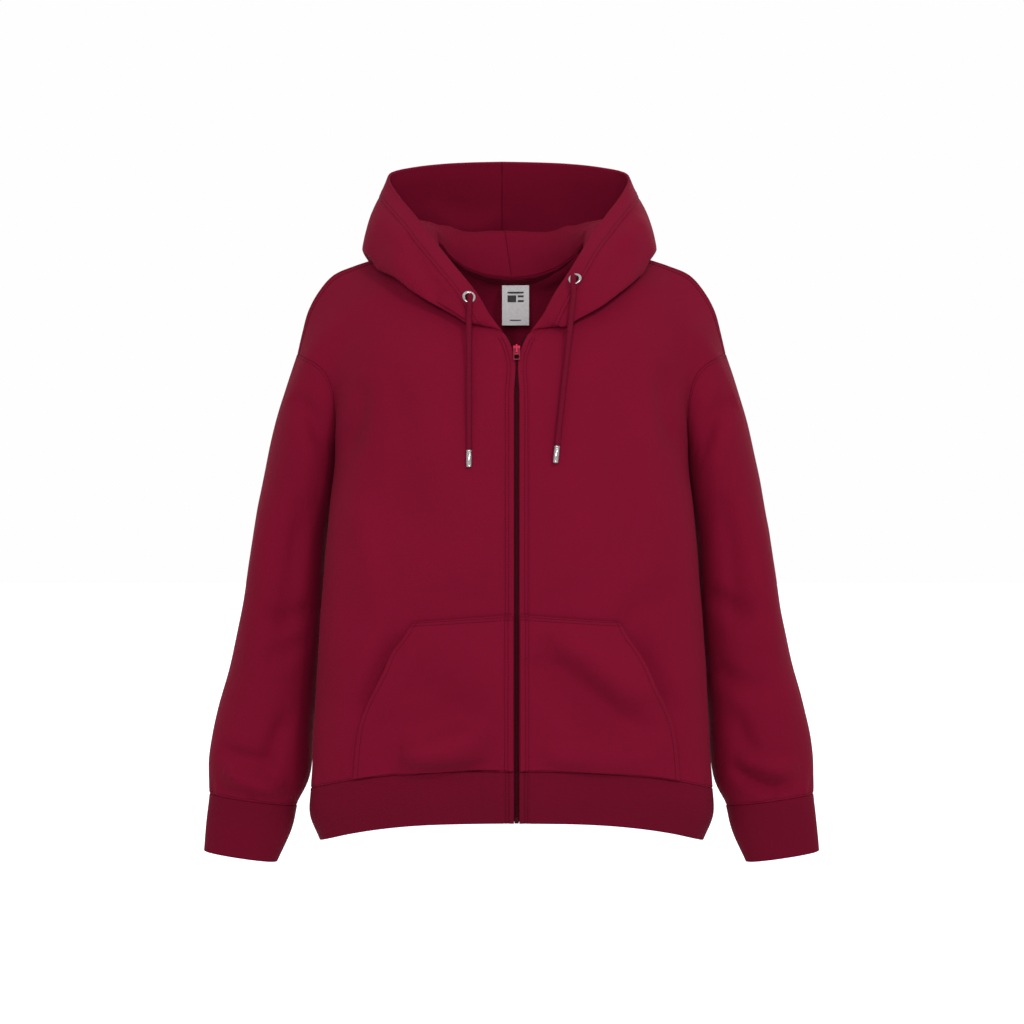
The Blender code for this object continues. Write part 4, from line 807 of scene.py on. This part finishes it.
class Nodes:
    """A short way to write a material's node tree."""

    def __init__(self, name):
        self.material = bpy.data.materials.new(name)
        self.material.use_nodes = True
        self.tree = self.material.node_tree
        self.shader = self.tree.nodes["Principled BSDF"]

    def add(self, kind, **settings):
        node = self.tree.nodes.new(kind)
        for key, value in settings.items():
            setattr(node, key, value)
        return node

    def join(self, source, target):
        self.tree.links.new(source, target)

    def math(self, how, a, b=None):
        node = self.add("ShaderNodeMath", operation=how)
        for socket, value in zip(node.inputs, (a, b), strict=False):
            if value is None:
                continue
            if isinstance(value, (int, float)):
                socket.default_value = value
            else:
                self.join(value, socket)
        return node.outputs[0]

    def noise(self, scale, detail=2.0, where="Object"):
        place = self.add("ShaderNodeTexCoord").outputs[where]
        node = self.add("ShaderNodeTexNoise")
        self.join(place, node.inputs["Vector"])
        node.inputs["Scale"].default_value = scale
        node.inputs["Detail"].default_value = detail
        return node.outputs["Fac"]

    def uv(self):
        split = self.add("ShaderNodeSeparateXYZ")
        self.join(self.add("ShaderNodeTexCoord").outputs["UV"], split.inputs[0])
        return split.outputs[0], split.outputs[1]

    def mix(self, share, first, second):
        node = self.add("ShaderNodeMix", data_type="RGBA")
        self.join(share, node.inputs["Factor"])
        for socket, colour in zip((node.inputs[6], node.inputs[7]), (first, second), strict=True):
            if isinstance(colour, tuple):
                socket.default_value = (*colour, 1.0)
            else:
                self.join(colour, socket)
        return node.outputs[2]

    def bump(self, height, distance, strength=1.0):
        node = self.add("ShaderNodeBump")
        node.inputs["Strength"].default_value = strength
        node.inputs["Distance"].default_value = distance
        self.join(height, node.inputs["Height"])
        self.join(node.outputs[0], self.shader.inputs["Normal"])

    def set(self, **values):
        for key, value in values.items():
            self.shader.inputs[key.replace("_", " ")].default_value = value
        return self.material


def knit(name, colour, wale, course, depth, rib=None, sheen=0.05):
    """Knitted cloth: columns of small loops, brushed a little, and the rib's deep columns, with
    painted shade in their grooves.
    """
    n = Nodes(name)
    u, v = n.uv()
    column = n.math("PINGPONG", n.math("DIVIDE", u, wale), 0.5)
    slant = n.math("ADD", n.math("DIVIDE", v, course), column)
    loop = n.math("PINGPONG", slant, 0.5)
    height = n.math("ADD", n.math("MULTIPLY", column, 1.2), n.math("MULTIPLY", loop, 0.8))
    fluff = n.noise(1500.0, 3.0)
    height = n.math("ADD", height, n.math("MULTIPLY", fluff, 0.9))
    broad = n.noise(9.0, 3.0)
    speck = n.noise(420.0, 4.0)
    share = n.math("ADD", n.math("MULTIPLY", broad, 0.45), n.math("MULTIPLY", speck, 0.55))
    dark = tuple(c * 0.78 for c in colour)
    light = tuple(min(1.0, c * 1.22) for c in colour)
    shade = n.mix(share, dark, light)
    shade = n.mix(n.math("MULTIPLY", loop, 0.28), shade, dark)
    if rib:
        groove = n.math("PINGPONG", n.math("DIVIDE", u, rib), 0.5)
        groove = n.math("SMOOTH_MIN", groove, 0.30)
        height = n.math("ADD", height, n.math("MULTIPLY", groove, 4.0))
        # The rib's grooves are painted darker, towards 0.45 of the colour: painted shade in the
        # hollows between the ribs.
        deep = n.math("SUBTRACT", 0.30, groove)
        shade = n.mix(n.math("MULTIPLY", deep, 0.7), shade, tuple(c * 0.45 for c in colour))
    n.join(shade, n.shader.inputs["Base Color"])
    rough = n.math("ADD", 0.80, n.math("MULTIPLY", speck, 0.18))
    n.join(rough, n.shader.inputs["Roughness"])
    n.bump(height, depth)
    return n.set(Sheen_Weight=sheen, Sheen_Roughness=0.45, Sheen_Tint=(0.80, 0.08, 0.16, 1.0),
                 Specular_IOR_Level=0.08)


def woven(name, colour, pitch, depth, rough=0.75, sheen=0.0, spec=0.08):
    """A close twill, for tapes and the label."""
    n = Nodes(name)
    place = n.add("ShaderNodeSeparateXYZ")
    n.join(n.add("ShaderNodeTexCoord").outputs["Object"], place.inputs[0])
    x, y, z = place.outputs
    slant = n.math("ADD", n.math("DIVIDE", x, pitch), n.math("DIVIDE", z, pitch))
    twill = n.math("PINGPONG", slant, 0.5)
    pick = n.math("PINGPONG", n.math("DIVIDE", z, pitch * 0.5), 0.5)
    height = n.math("ADD", n.math("MULTIPLY", twill, 1.4), n.math("MULTIPLY", pick, 0.6))
    share = n.math("ADD", n.math("MULTIPLY", twill, 0.8), n.math("MULTIPLY", n.noise(300.0), 0.6))
    n.join(n.mix(share, tuple(c * 0.75 for c in colour), tuple(min(1, c * 1.18) for c in colour)),
           n.shader.inputs["Base Color"])
    n.bump(height, depth)
    return n.set(Roughness=rough, Sheen_Weight=sheen, Specular_IOR_Level=spec)


def hard(name, colour, rough, metal, coat=0.0, worn=(1.0, 1.0, 1.0), spec=0.5):
    """Metal or lacquer, rubbed lighter here and there, with fine scratches."""
    n = Nodes(name)
    rub = n.math("MULTIPLY", n.noise(160.0, 5.0), 0.6)
    n.join(n.mix(rub, colour, tuple(min(1.0, c * w) for c, w in zip(colour, worn, strict=True))),
           n.shader.inputs["Base Color"])
    n.join(n.math("ADD", rough, n.math("MULTIPLY", n.noise(700.0, 4.0), 0.16)),
           n.shader.inputs["Roughness"])
    n.bump(n.noise(1400.0, 3.0), 0.00002, 0.5)
    return n.set(Metallic=metal, Coat_Weight=coat, Coat_Roughness=0.12, Specular_IOR_Level=spec)


BURGUNDY = (0.172, 0.0030, 0.0205)
FINISH = {
    "fleece": knit("fleece", BURGUNDY, 0.0012, 0.0009, 0.00010),
    "rib": knit("rib", (0.137, 0.0024, 0.0167), 0.0013, 0.0010, 0.00008, rib=0.0024),
    "tape": woven("tape", (0.090, 0.0020, 0.0110), 0.0007, 0.00008),
    "cord": woven("cord", (0.135, 0.0026, 0.0165), 0.0016, 0.00010, 0.82),
    # The thread is darker than the cloth: partly its own colour, partly painted shade of the stitch
    # grooves it lies in.
    "thread": woven("thread", (0.062, 0.0014, 0.0072), 0.0009, 0.00004, 0.6),
    "teeth": hard("teeth", (0.034, 0.0008, 0.0040), 0.55, 0.0, 0.0, (1.6, 1.6, 1.6), 0.10),
    "lacquer": hard("lacquer", (0.560, 0.0060, 0.0520), 0.28, 0.1, 0.3, (1.1, 1.4, 1.2), 0.3),
    "pull": hard("pull", (0.150, 0.0040, 0.0200), 0.30, 0.2, 0.3, (1.4, 1.6, 1.5), 0.3),
    "steel": hard("steel", (0.520, 0.505, 0.500), 0.20, 1.0, 0.0, (0.85, 0.85, 0.85)),
    "label": woven("label", (0.640, 0.615, 0.620), 0.0005, 0.00004, 0.6),
    "ink": woven("ink", (0.050, 0.046, 0.052), 0.0005, 0.00003, 0.6),
}


# ---- the camera, at the height of the middle of the garment ----------------------------------
eye = bpy.data.cameras.new("camera")
eye.lens, eye.sensor_width = 102.5, 36.0
camera = bpy.data.objects.new("camera", eye)
camera.location, camera.rotation_euler = (0.0006, -3.5, -0.325), (math.pi / 2, 0, 0)
bpy.context.scene.collection.objects.link(camera)
bpy.context.scene.camera = camera


# ---- the cords, with their braid, eyelets and tips -------------------------------------------
def frames_along(line):
    """Directions along a line, and two across it that turn as little as they can."""
    along_it = unit(np.gradient(line, axis=0))
    across = np.zeros_like(line)
    across[0] = unit(np.cross(along_it[0], (0.0, 0.0, 1.0)) + 1e-9)
    for k in range(1, len(line)):
        across[k] = across[k - 1] - along_it[k] * (across[k - 1] @ along_it[k])
        across[k] /= np.linalg.norm(across[k])
    return along_it, across, np.cross(along_it, across)


def braided(name, route):
    """A round cord braided of sixteen strands, as a tube with the strands standing out."""
    length = lengths(np.array(route, float))[-1]
    line = evenly(route, int(length / CORD_STEP))
    far = lengths(line)
    _, across, other = frames_along(line)
    sides = 32
    turn = np.linspace(0, 2 * math.pi, sides + 1)[:-1]
    climb = 2 * math.pi * far[:, None] / BRAID_PITCH
    strand = 8 * turn[None] + climb
    counter = 8 * turn[None] - climb
    over = np.sign(np.sin(strand / 2 + counter / 2))
    lift = np.where(over > 0, np.abs(np.cos(strand / 2)), np.abs(np.cos(counter / 2)))
    radius = CORD_RADIUS * (0.91 + 0.10 * lift)
    ring = (
        line[:, None]
        + across[:, None] * (radius * np.cos(turn))[..., None]
        + other[:, None] * (radius * np.sin(turn))[..., None]
    )
    faces = []
    for k in range(len(line) - 1):
        for j in range(sides):
            a, b = k * sides + j, k * sides + (j + 1) % sides
            faces.append((a, b, b + sides, a + sides))
    faces += [tuple(range(sides))[::-1], tuple((len(line) - 1) * sides + j for j in range(sides))]
    return mesh_piece(name, ring.reshape(-1, 3), faces, "cord"), line


def revolve(name, profile, place, axis, kind, sides=48, closed=True):
    """A ring or rod turned about an axis, from a profile of (radius, height)."""
    axis = Vector(axis).normalized()
    tilt = Vector((0, 0, 1)).rotation_difference(axis).to_matrix().to_4x4()
    frame_at = Matrix.Translation(Vector(place)) @ tilt
    points, faces, n = [], [], len(profile)
    for k in range(sides):
        a = 2 * math.pi * k / sides
        points += [frame_at @ Vector((r * math.cos(a), r * math.sin(a), h)) for r, h in profile]
    for k in range(sides):
        here, on = k * n, (k + 1) % sides * n
        faces += [(here + j, here + (j + 1) % n, on + (j + 1) % n, on + j)
                  for j in range(n if closed else n - 1)]
    if not closed:
        faces += [tuple(k * n for k in range(sides)), tuple(k * n + n - 1 for k in range(sides))]
    return mesh_piece(name, points, faces, kind)


for side in ("left", "right"):
    piece, line = braided("braided_cord_" + side, ROUTES[side])
    way = unit(line[-1] - line[-3])
    r, inside = TIP_RADIUS, TIP_RADIUS - 0.0006
    tip = revolve(
        "metal_tip_" + side,
        [(inside, 0.0), (r - 0.0001, 0.0), (r, 0.0004), (r, 0.0022), (r - 0.0004, 0.0026),
         (r - 0.0004, 0.0034), (r, 0.0038), (r, 0.0166), (r - 0.0003, 0.0170),
         (r - 0.0003, 0.0178), (r, 0.0182), (r, 0.0192), (r - 0.0005, 0.0197),
         (r - 0.0012, TIP_LONG), (inside - 0.0008, TIP_LONG), (inside - 0.0010, 0.0180),
         (inside, 0.0178)],
        line[-1] + way * GAP, way, "steel")
    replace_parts(piece, "drawcord_" + side)
    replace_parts(tip, "cord_tip_" + side)


# ---- the sewn panels -------------------------------------------------------------------------
def near_rows(name):
    near = {"top": NEAR_EDGE, "bottom": NEAR_EDGE, "first": NEAR_EDGE, "last": NEAR_EDGE}
    if name.startswith("front"):
        near["first"] = near["bottom"] = NEAR_ZIP
    if name == "waistband":
        near["first"] = near["last"] = NEAR_ZIP
    return near


fine = {}
for name, panel in panels.items():
    step = STEPS.get(name.split("_")[0], BODY_STEPS)
    fine[name] = list(finer(panel, step, near_rows(name)))

for side in ("left", "right"):
    body, rear = fine["front_" + side][0], fine["back"][0]
    edge = rear[:, -1] if side == "right" else rear[:, 0]
    meet(fine["sleeve_" + side][0], body[:, -1], edge)
    meet(fine["hood_" + side][0], body[:, 0], rear[-1])
    meet(fine["cuff_" + side][0], fine["sleeve_" + side][0][-1])
meet(fine["waistband"][0], fine["front_left"][0][0], fine["front_right"][0][0],
     fine["back"][0][0])

PIECES = {}
for name, (grid, out, u, v) in fine.items():
    kind = "rib" if name.startswith(("cuff", "waist")) else "fleece"
    wrap = panels[name]["wrap"]
    move = folds(grid, out)
    down, over = lengths(grid), np.swapaxes(lengths(np.swapaxes(grid, 0, 1)), 0, 1)
    if name.startswith(("front", "back")):
        move += ripple(over, down)
        move *= np.clip((down[-1:] - down) / NECK_STILL, 0, 1)
    if name.startswith("sleeve"):
        turn = over * (2 * math.pi / 0.3)
        move += ripple(np.sin(turn / 2) * 0.12 + over * 0, down[-1:] - down)
    if name.startswith("hood"):
        move *= 0.8 * np.clip(down / NECK_STILL, 0, 1)
    if kind == "rib":
        move *= np.clip(down / 0.01, 0, 1) * 0.5 + 0.3
    grid = grid + out * move[..., None]
    thick = RIB if kind == "rib" else FLEECE
    dips = []
    if name.startswith("front"):
        dips = [("first", ZIP_NEEDLES[0]), ("first", ZIP_NEEDLES[1]), ("bottom", NECK_NEEDLES[1])]
    if name == "waistband":
        dips = [(edge, needle) for edge in ("first", "last") for needle in ZIP_NEEDLES]
    if name.startswith("hood"):
        near = down[-1:] - down
        hem = np.clip((HOOD_HEM - near) / 0.003, 0, 1)
        thick = FLEECE + (HEM_FOLD - FLEECE) * hem
        dips = [("bottom", HOOD_HEM - 0.001)]
    PIECES[name] = cloth(name + "_cloth", grid, out, u, v, thick, kind, wrap, dips)
    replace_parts(PIECES[name]["obj"], name)


def in_from(piece, edge, inset, rows=slice(None)):
    """A line on a panel's outer face, so far in from one of its edges, and the way out there."""
    outer, out = piece["outer"], piece["out"]
    if edge in ("first", "last"):
        outer, out = np.swapaxes(outer, 0, 1), np.swapaxes(out, 0, 1)
    if edge in ("last", "bottom"):
        outer, out = outer[::-1], out[::-1]
    far = lengths(outer)
    columns = range(outer.shape[1])
    line = np.array([read_at(inset, far[:, c], outer[:, c]) for c in columns])
    ways = np.array([read_at(inset, far[:, c], out[:, c]) for c in columns])
    return line[rows], unit(ways[rows])


def stitches(name, runs):
    """Rows of sewn stitches, each a short thread half sunk in the cloth."""
    rings = ((-0.5, 0.35, -0.0002), (-0.30, 1.0, 0.0), (0.30, 1.0, 0.0), (0.5, 0.35, -0.0002))
    sides = 5
    turn = np.linspace(0, 2 * math.pi, sides + 1)[:-1]
    points, faces = [], []
    for line, ways in runs:
        far = lengths(line)
        count = int(far[-1] / (STITCH_LONG + STITCH_GAP))
        for k in range(count):
            at = (k + 0.5) / count * far[-1]
            place = read_at(at, far, line)
            go = unit(read_at(at + LOOK_ON, far, line) - read_at(at - LOOK_ON, far, line))
            up = unit(read_at(at, far, ways))
            side = np.cross(go, up)
            start = len(points)
            for t, r, sink in rings:
                middle = place + go * (STITCH_LONG * t) + up * (sink + THREAD * 0.25)
                points += [middle + THREAD * r * (side * math.cos(a) + up * math.sin(a) * 0.8)
                           for a in turn]
            for ring in range(len(rings) - 1):
                a = start + ring * sides
                faces += [(a + j, a + (j + 1) % sides, a + sides + (j + 1) % sides, a + sides + j)
                          for j in range(sides)]
            last = start + (len(rings) - 1) * sides
            faces += [tuple(start + j for j in range(sides)), tuple(last + j for j in range(sides))]
    return mesh_piece(name, points, faces, "thread")


# ---- pockets ---------------------------------------------------------------------------------
def pocket_grid(name, sign):
    """Half of the kangaroo pocket, laid over a front from its zip edge to the band seam."""
    side_name = "right" if sign > 0 else "left"
    tree = surface([PIECES["front_" + side_name]["obj"]])
    side = np.array(POCKET_SIDE)
    hem = panels["front_" + side_name]["grid"][0, :-2] * (sign, 1, 1)
    corner_z = POCKET_SIDE[0][1]
    inner = EDGE + 0.0012 + sign * ZIP_X
    rows = []
    for down in np.linspace(0, 1, 10):
        level = corner_z + (side[-1, 1] - corner_z) * down
        outer = np.interp(-level, -side[:, 1], side[:, 0]) + (POCKET_WIDER if sign > 0 else 0)
        open_here = np.clip(math.sin(math.pi * min(1.0, down / 0.66)), 0, 1)
        row = []
        for over in np.linspace(0, 1, 9):
            x = inner + (outer - inner) * over
            top = POCKET_TOP + (corner_z - POCKET_TOP) * over
            bottom = np.interp(x, hem[:, 0], hem[:, 2]) + 0.0020
            place, normal = from_front(tree, sign * x, top + (bottom - top) * down)
            puff = 0.0020 * math.sin(math.pi * down) * math.sin(math.pi * over)
            rise = GAP * 4 + FLEECE / 2 + puff + POCKET_BAG * open_here * over**3
            row.append(place + normal * rise)
        rows.append(row)
    grid = np.array(rows)
    out = facing(grid, False)
    return {"grid": grid, "out": -out if out[4, 4, 1] > 0 else out, "wrap": False}


for side, sign in (("left", -1), ("right", 1)):
    name = "pocket_" + side
    near = dict.fromkeys(("top", "bottom", "last"), NEAR_EDGE) | {"first": NEAR_ZIP}
    grid, out, u, v = finer(pocket_grid(name, sign), 8, near)
    in_by = np.minimum(lengths(grid), (lengths(grid)[-1:] - lengths(grid)))
    grid = grid + out * (folds(grid, out, POCKET_CREASES) * np.clip(in_by / 0.02, 0, 1))[..., None]
    PIECES[name] = cloth(name + "_cloth", grid, out, u, v, FLEECE, "fleece",
                         dips=[("first", ZIP_NEEDLES[0]), ("first", ZIP_NEEDLES[1]),
                               ("top", 0.0045)])
    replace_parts(PIECES[name]["obj"], name)


# ---- eyelets, through holes cut in the hood --------------------------------------------------
for side in ("left", "right"):
    hood = PIECES["hood_" + side]["obj"]
    tree = surface([hood])
    x, z = EYELETS[side]
    middle, _ = from_front(tree, x, z)
    around = [(r * math.cos(a), r * math.sin(a))
              for r in (EYELET_CUT, EYELET_OUTER) for a in np.linspace(0, 2 * math.pi, 17)[:-1]]
    hits = [from_front(tree, x + dx, z + dz) for dx, dz in around]
    hits = [(p, n) for p, n in hits if p and abs(p.y - middle.y) < 0.006]
    normal = sum((n for _, n in hits), Vector()).normalized()
    heights = [(p - middle).dot(normal) for p, _ in hits] + [0.0]
    high, low = max(heights), min(heights) - HEM_FOLD
    cutter = revolve("cutter", [(0.00001, -0.006), (EYELET_CUT, -0.006), (EYELET_CUT, 0.006),
                                (0.00001, 0.006)], middle, normal, "steel", 32, closed=False)
    step = hood.modifiers.new("hole", "BOOLEAN")
    step.operation, step.solver, step.object = "DIFFERENCE", "EXACT", cutter
    graph = bpy.context.evaluated_depsgraph_get()
    hood.data = bpy.data.meshes.new_from_object(hood.evaluated_get(graph))
    hood.modifiers.remove(step)
    bpy.data.objects.remove(cutter, do_unlink=True)
    b, rim, barrel, t = EYELET_BORE, EYELET_OUTER, EYELET_BARREL, EYELET_THICK
    profile = [(b, low - 0.0002), (b, high + t * 0.3), (b + 0.0003, high + t * 0.75),
               (b + 0.0010, high + t * 1.05), ((b + rim) / 2, high + t * 1.15),
               (rim - 0.0008, high + t * 0.85), (rim - 0.0002, high + t * 0.4), (rim, high),
               (barrel, high - 0.0001), (barrel, low), (rim * 0.86, low),
               (rim * 0.86, low - 0.0005), (barrel, low - 0.0007)]
    ring = revolve("eyelet_ring_" + side, profile, middle, normal, "steel", 64)
    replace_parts(ring, "eyelet_" + side)


# ---- the zip ---------------------------------------------------------------------------------
def zip_edge(side):
    """One front's zip edge from the hem up to the neck, the way into the cloth, and out."""
    body, band = PIECES["front_" + side], PIECES["waistband"]
    last, beside_it = (0, 3) if side == "right" else (-1, -4)
    middle = [np.concatenate([band["grid"][::-1, last], body["grid"][:, 0]]),
              np.concatenate([band["grid"][::-1, beside_it], body["grid"][:, 3]])]
    out = np.concatenate([band["out"][::-1, last], body["out"][:, 0]])
    keep = np.concatenate([[True], np.diff(np.maximum.accumulate(middle[0][:, 2])) > 1e-5])
    keep &= middle[0][:, 2] < -0.110
    return middle[0][keep], unit(middle[1][keep] - middle[0][keep]), unit(out[keep])


def at_height(points, values, z):
    """A zip edge's point, or a direction beside it, at one height."""
    return read_at(z, points[:, 2], values)


def teeth(name, spots):
    """Moulded teeth: small blocks with a narrower face, each given by its middle and frame."""
    points, faces = [], []
    corners = [(-1, -1), (1, -1), (1, 1), (-1, 1)]
    for middle, across, up, out, wide in spots:
        start = len(points)
        for depth, share in ((-0.5, 0.85), (-0.25, 1.0), (0.25, 1.0), (0.5, 0.72)):
            points += [middle + across * (a * wide / 2 * share) + up * (b * TOOTH_TALL / 2 * share)
                       + out * (depth * TOOTH_DEEP) for a, b in corners]
        for ring in range(3):
            a = start + 4 * ring
            faces += [(a + j, a + (j + 1) % 4, a + 4 + (j + 1) % 4, a + 4 + j) for j in range(4)]
        faces += [tuple(start + j for j in range(4)), tuple(start + 12 + j for j in range(4))]
    piece = mesh_piece(name, points, faces, "teeth")
    piece.data.shade_flat()
    return piece


left, right = zip_edge("left"), zip_edge("right")
shut, lone = [], {"left": [], "right": []}
for k, z in enumerate(np.arange(ZIP_FOOT, ZIP_END, TOOTH_PITCH)):
    ends = [at_height(side[0], side[0], z) for side in (left, right)]
    above = [at_height(side[0], side[0], z + 0.002) for side in (left, right)]
    if z < SLIDER_Z:
        up = unit(above[0] + above[1] - ends[0] - ends[1])
        across = np.array([1.0, 0.0, 0.0])
        out = np.cross(across, up)
        hand = 1 if k % 2 else -1
        middle = (ends[0] + ends[1]) / 2 + across * hand * 0.0007
        shut.append((middle, across, up, out, SHUT_TOOTH_WIDE))
    elif z > SLIDER_Z + SLIDER_CLEAR:
        for side, (points, ways, facings), end, top in (
                ("left", left, ends[0], above[0]), ("right", right, ends[1], above[1])):
            up = unit(top - end)
            into = at_height(points, ways, z)
            out = unit(at_height(points, facings, z))
            lone[side].append((end - into * 0.0014, into, up, out, LONE_TOOTH_WIDE))
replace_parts(teeth("closed_teeth", shut), "zip_chain")
for side in ("left", "right"):
    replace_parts(teeth("open_teeth_" + side, lone[side]), "zip_teeth_" + side)

for node, kind in (("zip_tape_left", "tape"), ("zip_tape_right", "tape"), ("zip_box", "teeth"),
                   ("zip_slider", "lacquer"), ("zip_pull", "pull"), ("neck_tape", "tape"),
                   ("label", "label")):
    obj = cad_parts[node]
    obj.data.materials.clear()
    obj.data.materials.append(FINISH[kind])


# ---- the label's plain bars, and all the stitching -------------------------------------------
low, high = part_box("label")
wide, tall = high.x - low.x, high.z - low.z
BARS = (  # each bar's left and right, and its top and bottom, as shares of the label
    (0.20, 0.80, 0.16, 0.20), (0.20, 0.52, 0.25, 0.42), (0.58, 0.80, 0.25, 0.30),
    (0.58, 0.80, 0.37, 0.42), (0.30, 0.70, 0.86, 0.885))
points, faces = [], []
tree = surface([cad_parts["label"]])
for left_x, right_x, top_z, low_z in BARS:
    x0, x1 = low.x + wide * left_x, low.x + wide * right_x
    z0, z1 = high.z - tall * top_z, high.z - tall * low_z
    start = len(points)
    for x, z in ((x0, z0), (x1, z0), (x1, z1), (x0, z1)):
        place, _ = from_front(tree, x, z)
        points += [(x, place.y - 0.00025, z), (x, place.y + 0.0001, z)]
    a = [start + 2 * j for j in range(4)]
    faces += [tuple(a), tuple(i + 1 for i in a[::-1])]
    faces += [(a[j], a[j] + 1, a[(j + 1) % 4] + 1, a[(j + 1) % 4]) for j in range(4)]
mesh_piece("label_bars", points, faces, "ink").data.shade_flat()

body_rows, hood_rows, sleeve_rows, pocket_rows = [], [], [], []
for side in ("left", "right"):
    front_piece, hood, sleeve_piece = (PIECES[k + side] for k in ("front_", "hood_", "sleeve_"))
    heights = front_piece["outer"][:, 0, 2]
    below_neck = slice(0, int(np.searchsorted(heights, -0.119)))
    above_neck = slice(int(np.searchsorted(heights, -0.117)), None)
    for needle in ZIP_NEEDLES:
        body_rows.append(in_from(front_piece, "first", needle, below_neck))
        body_rows.append(in_from(PIECES["waistband"], "first" if side == "right" else "last",
                                 needle))
    body_rows.append(in_from(front_piece, "first", 0.0050, above_neck))
    body_rows.append(in_from(front_piece, "top", 0.0030))
    body_rows += [in_from(front_piece, "bottom", needle) for needle in NECK_NEEDLES]
    hood_rows.append(in_from(hood, "bottom", HOOD_HEM - 0.0010))
    hood_rows.append(in_from(hood, "bottom", HOOD_HEM - 0.0055))
    hood_rows.append(in_from(hood, "last", 0.0030))
    sleeve_rows.append(in_from(sleeve_piece, "top", 0.0035))
    sleeve_rows.append(in_from(sleeve_piece, "bottom", 0.0035))
    pocket_piece = PIECES["pocket_" + side]
    pocket_rows += [in_from(pocket_piece, "top", d) for d in (0.0025, 0.0065)]
    pocket_rows.append(in_from(pocket_piece, "last", 0.0060))
    pocket_rows += [in_from(pocket_piece, "first", needle) for needle in ZIP_NEEDLES]
body_rows.append(in_from(PIECES["back"], "top", 0.0035))
body_rows.append(in_from(PIECES["back"], "bottom", 0.0040))
stitches("body_stitching", body_rows)
stitches("hood_stitching", hood_rows)
stitches("sleeve_stitching", sleeve_rows)
stitches("pocket_stitching", pocket_rows)


# ---- what each panel was cut to, in metres: width, length and area ---------------------------
CUT = {
    "front_left": (0.330, 0.706, 0.186), "front_right": (0.330, 0.706, 0.180),
    "back": (0.730, 0.700, 0.335), "sleeve_left": (0.480, 0.550, 0.184),
    "sleeve_right": (0.480, 0.550, 0.184), "hood_left": (0.520, 0.490, 0.110),
    "hood_right": (0.525, 0.490, 0.116), "pocket_left": (0.187, 0.210, 0.0320),
    "pocket_right": (0.187, 0.210, 0.0315), "cuff_left": (0.275, 0.072, 0.0178),
    "cuff_right": (0.275, 0.072, 0.0178), "waistband": (1.150, 0.065, 0.0725),
}
for name, (wide, long, area) in CUT.items():
    kind, _, side = name.partition("_")


# ---- the room: a pale floor, a white wall, soft light ------------------------------------------
FLOOR_Z, FLOOR_HALF = -1.15, 30
floor_mesh = bpy.data.meshes.new("floor")
corners = [(a * FLOOR_HALF, b * FLOOR_HALF, 0) for a, b in ((-1, -1), (1, -1), (1, 1), (-1, 1))]
floor_mesh.from_pydata(corners, [], [(0, 1, 2, 3)])
floor = bpy.data.objects.new("floor", floor_mesh)
floor.location.z = FLOOR_Z
bpy.context.scene.collection.objects.link(floor)
paint = Nodes("floor")
split = paint.add("ShaderNodeSeparateXYZ")
paint.join(paint.add("ShaderNodeTexCoord").outputs["Object"], split.inputs[0])
paler_and_glowing_behind = paint.add("ShaderNodeMapRange")  # paler behind the garment, and glowing there as painted light, to fade into the white wall
for socket, value in zip(paler_and_glowing_behind.inputs[1:5], (0.2, 1.1, 0.0, 1.0), strict=True):
    socket.default_value = value
paint.join(split.outputs[1], paler_and_glowing_behind.inputs[0])
paint.join(paint.mix(paler_and_glowing_behind.outputs[0], (0.66, 0.66, 0.66), (0.90, 0.90, 0.90)),
           paint.shader.inputs["Base Color"])
# The floor's emission behind the garment is painted light: the floor glows though it is no lamp.
paint.join(paint.math("MULTIPLY", paler_and_glowing_behind.outputs[0], 0.62),
           paint.shader.inputs["Emission Strength"])
floor_mesh.materials.append(paint.set(
    Roughness=0.95, Specular_IOR_Level=0.1, Emission_Color=(1.0, 1.0, 1.0, 1.0)))

world = bpy.data.worlds.new("room")
world.use_nodes = True
sky = world.node_tree
look = sky.nodes.new("ShaderNodeTexCoord")
part_of = sky.nodes.new("ShaderNodeSeparateXYZ")
ramp = sky.nodes.new("ShaderNodeMapRange")  # a white wall behind, a dimmer room in front
for socket, value in zip(ramp.inputs[1:5], (-0.5, 0.6, 0.52, 0.99), strict=True):
    socket.default_value = value
sky.links.new(look.outputs["Generated"], part_of.inputs[0])
lift = sky.nodes.new("ShaderNodeMath")
lift.operation = "MULTIPLY_ADD"
lift.inputs[1].default_value = 0.5
sky.links.new(part_of.outputs[2], lift.inputs[0])
sky.links.new(part_of.outputs[1], lift.inputs[2])
sky.links.new(lift.outputs[0], ramp.inputs[0])
sky.links.new(ramp.outputs[0], sky.nodes["Background"].inputs["Strength"])
sky.nodes["Background"].inputs["Color"].default_value = (1.0, 1.0, 1.0, 1.0)
bpy.context.scene.world = world


def soft_light(name, place, target, size, power):
    data = bpy.data.lights.new(name, "AREA")
    data.shape, data.size, data.energy = "DISK", size, power
    lamp = bpy.data.objects.new(name, data)
    lamp.location = place
    lamp.rotation_mode = "QUATERNION"
    lamp.rotation_quaternion = (Vector(target) - Vector(place)).to_track_quat("-Z", "Y")
    bpy.context.scene.collection.objects.link(lamp)


soft_light("key", (1.1, -2.3, 1.3), (0, 0, -0.05), 0.5, 20.0)
soft_light("fill", (-0.2, -2.8, 0.25), (0, 0, 0.05), 0.7, 27.0)
soft_light("rear", (1.4, 3.0, 1.8), (0, 0, -0.30), 1.0, 24.0)

bpy.context.scene.view_settings.view_transform = "Standard"
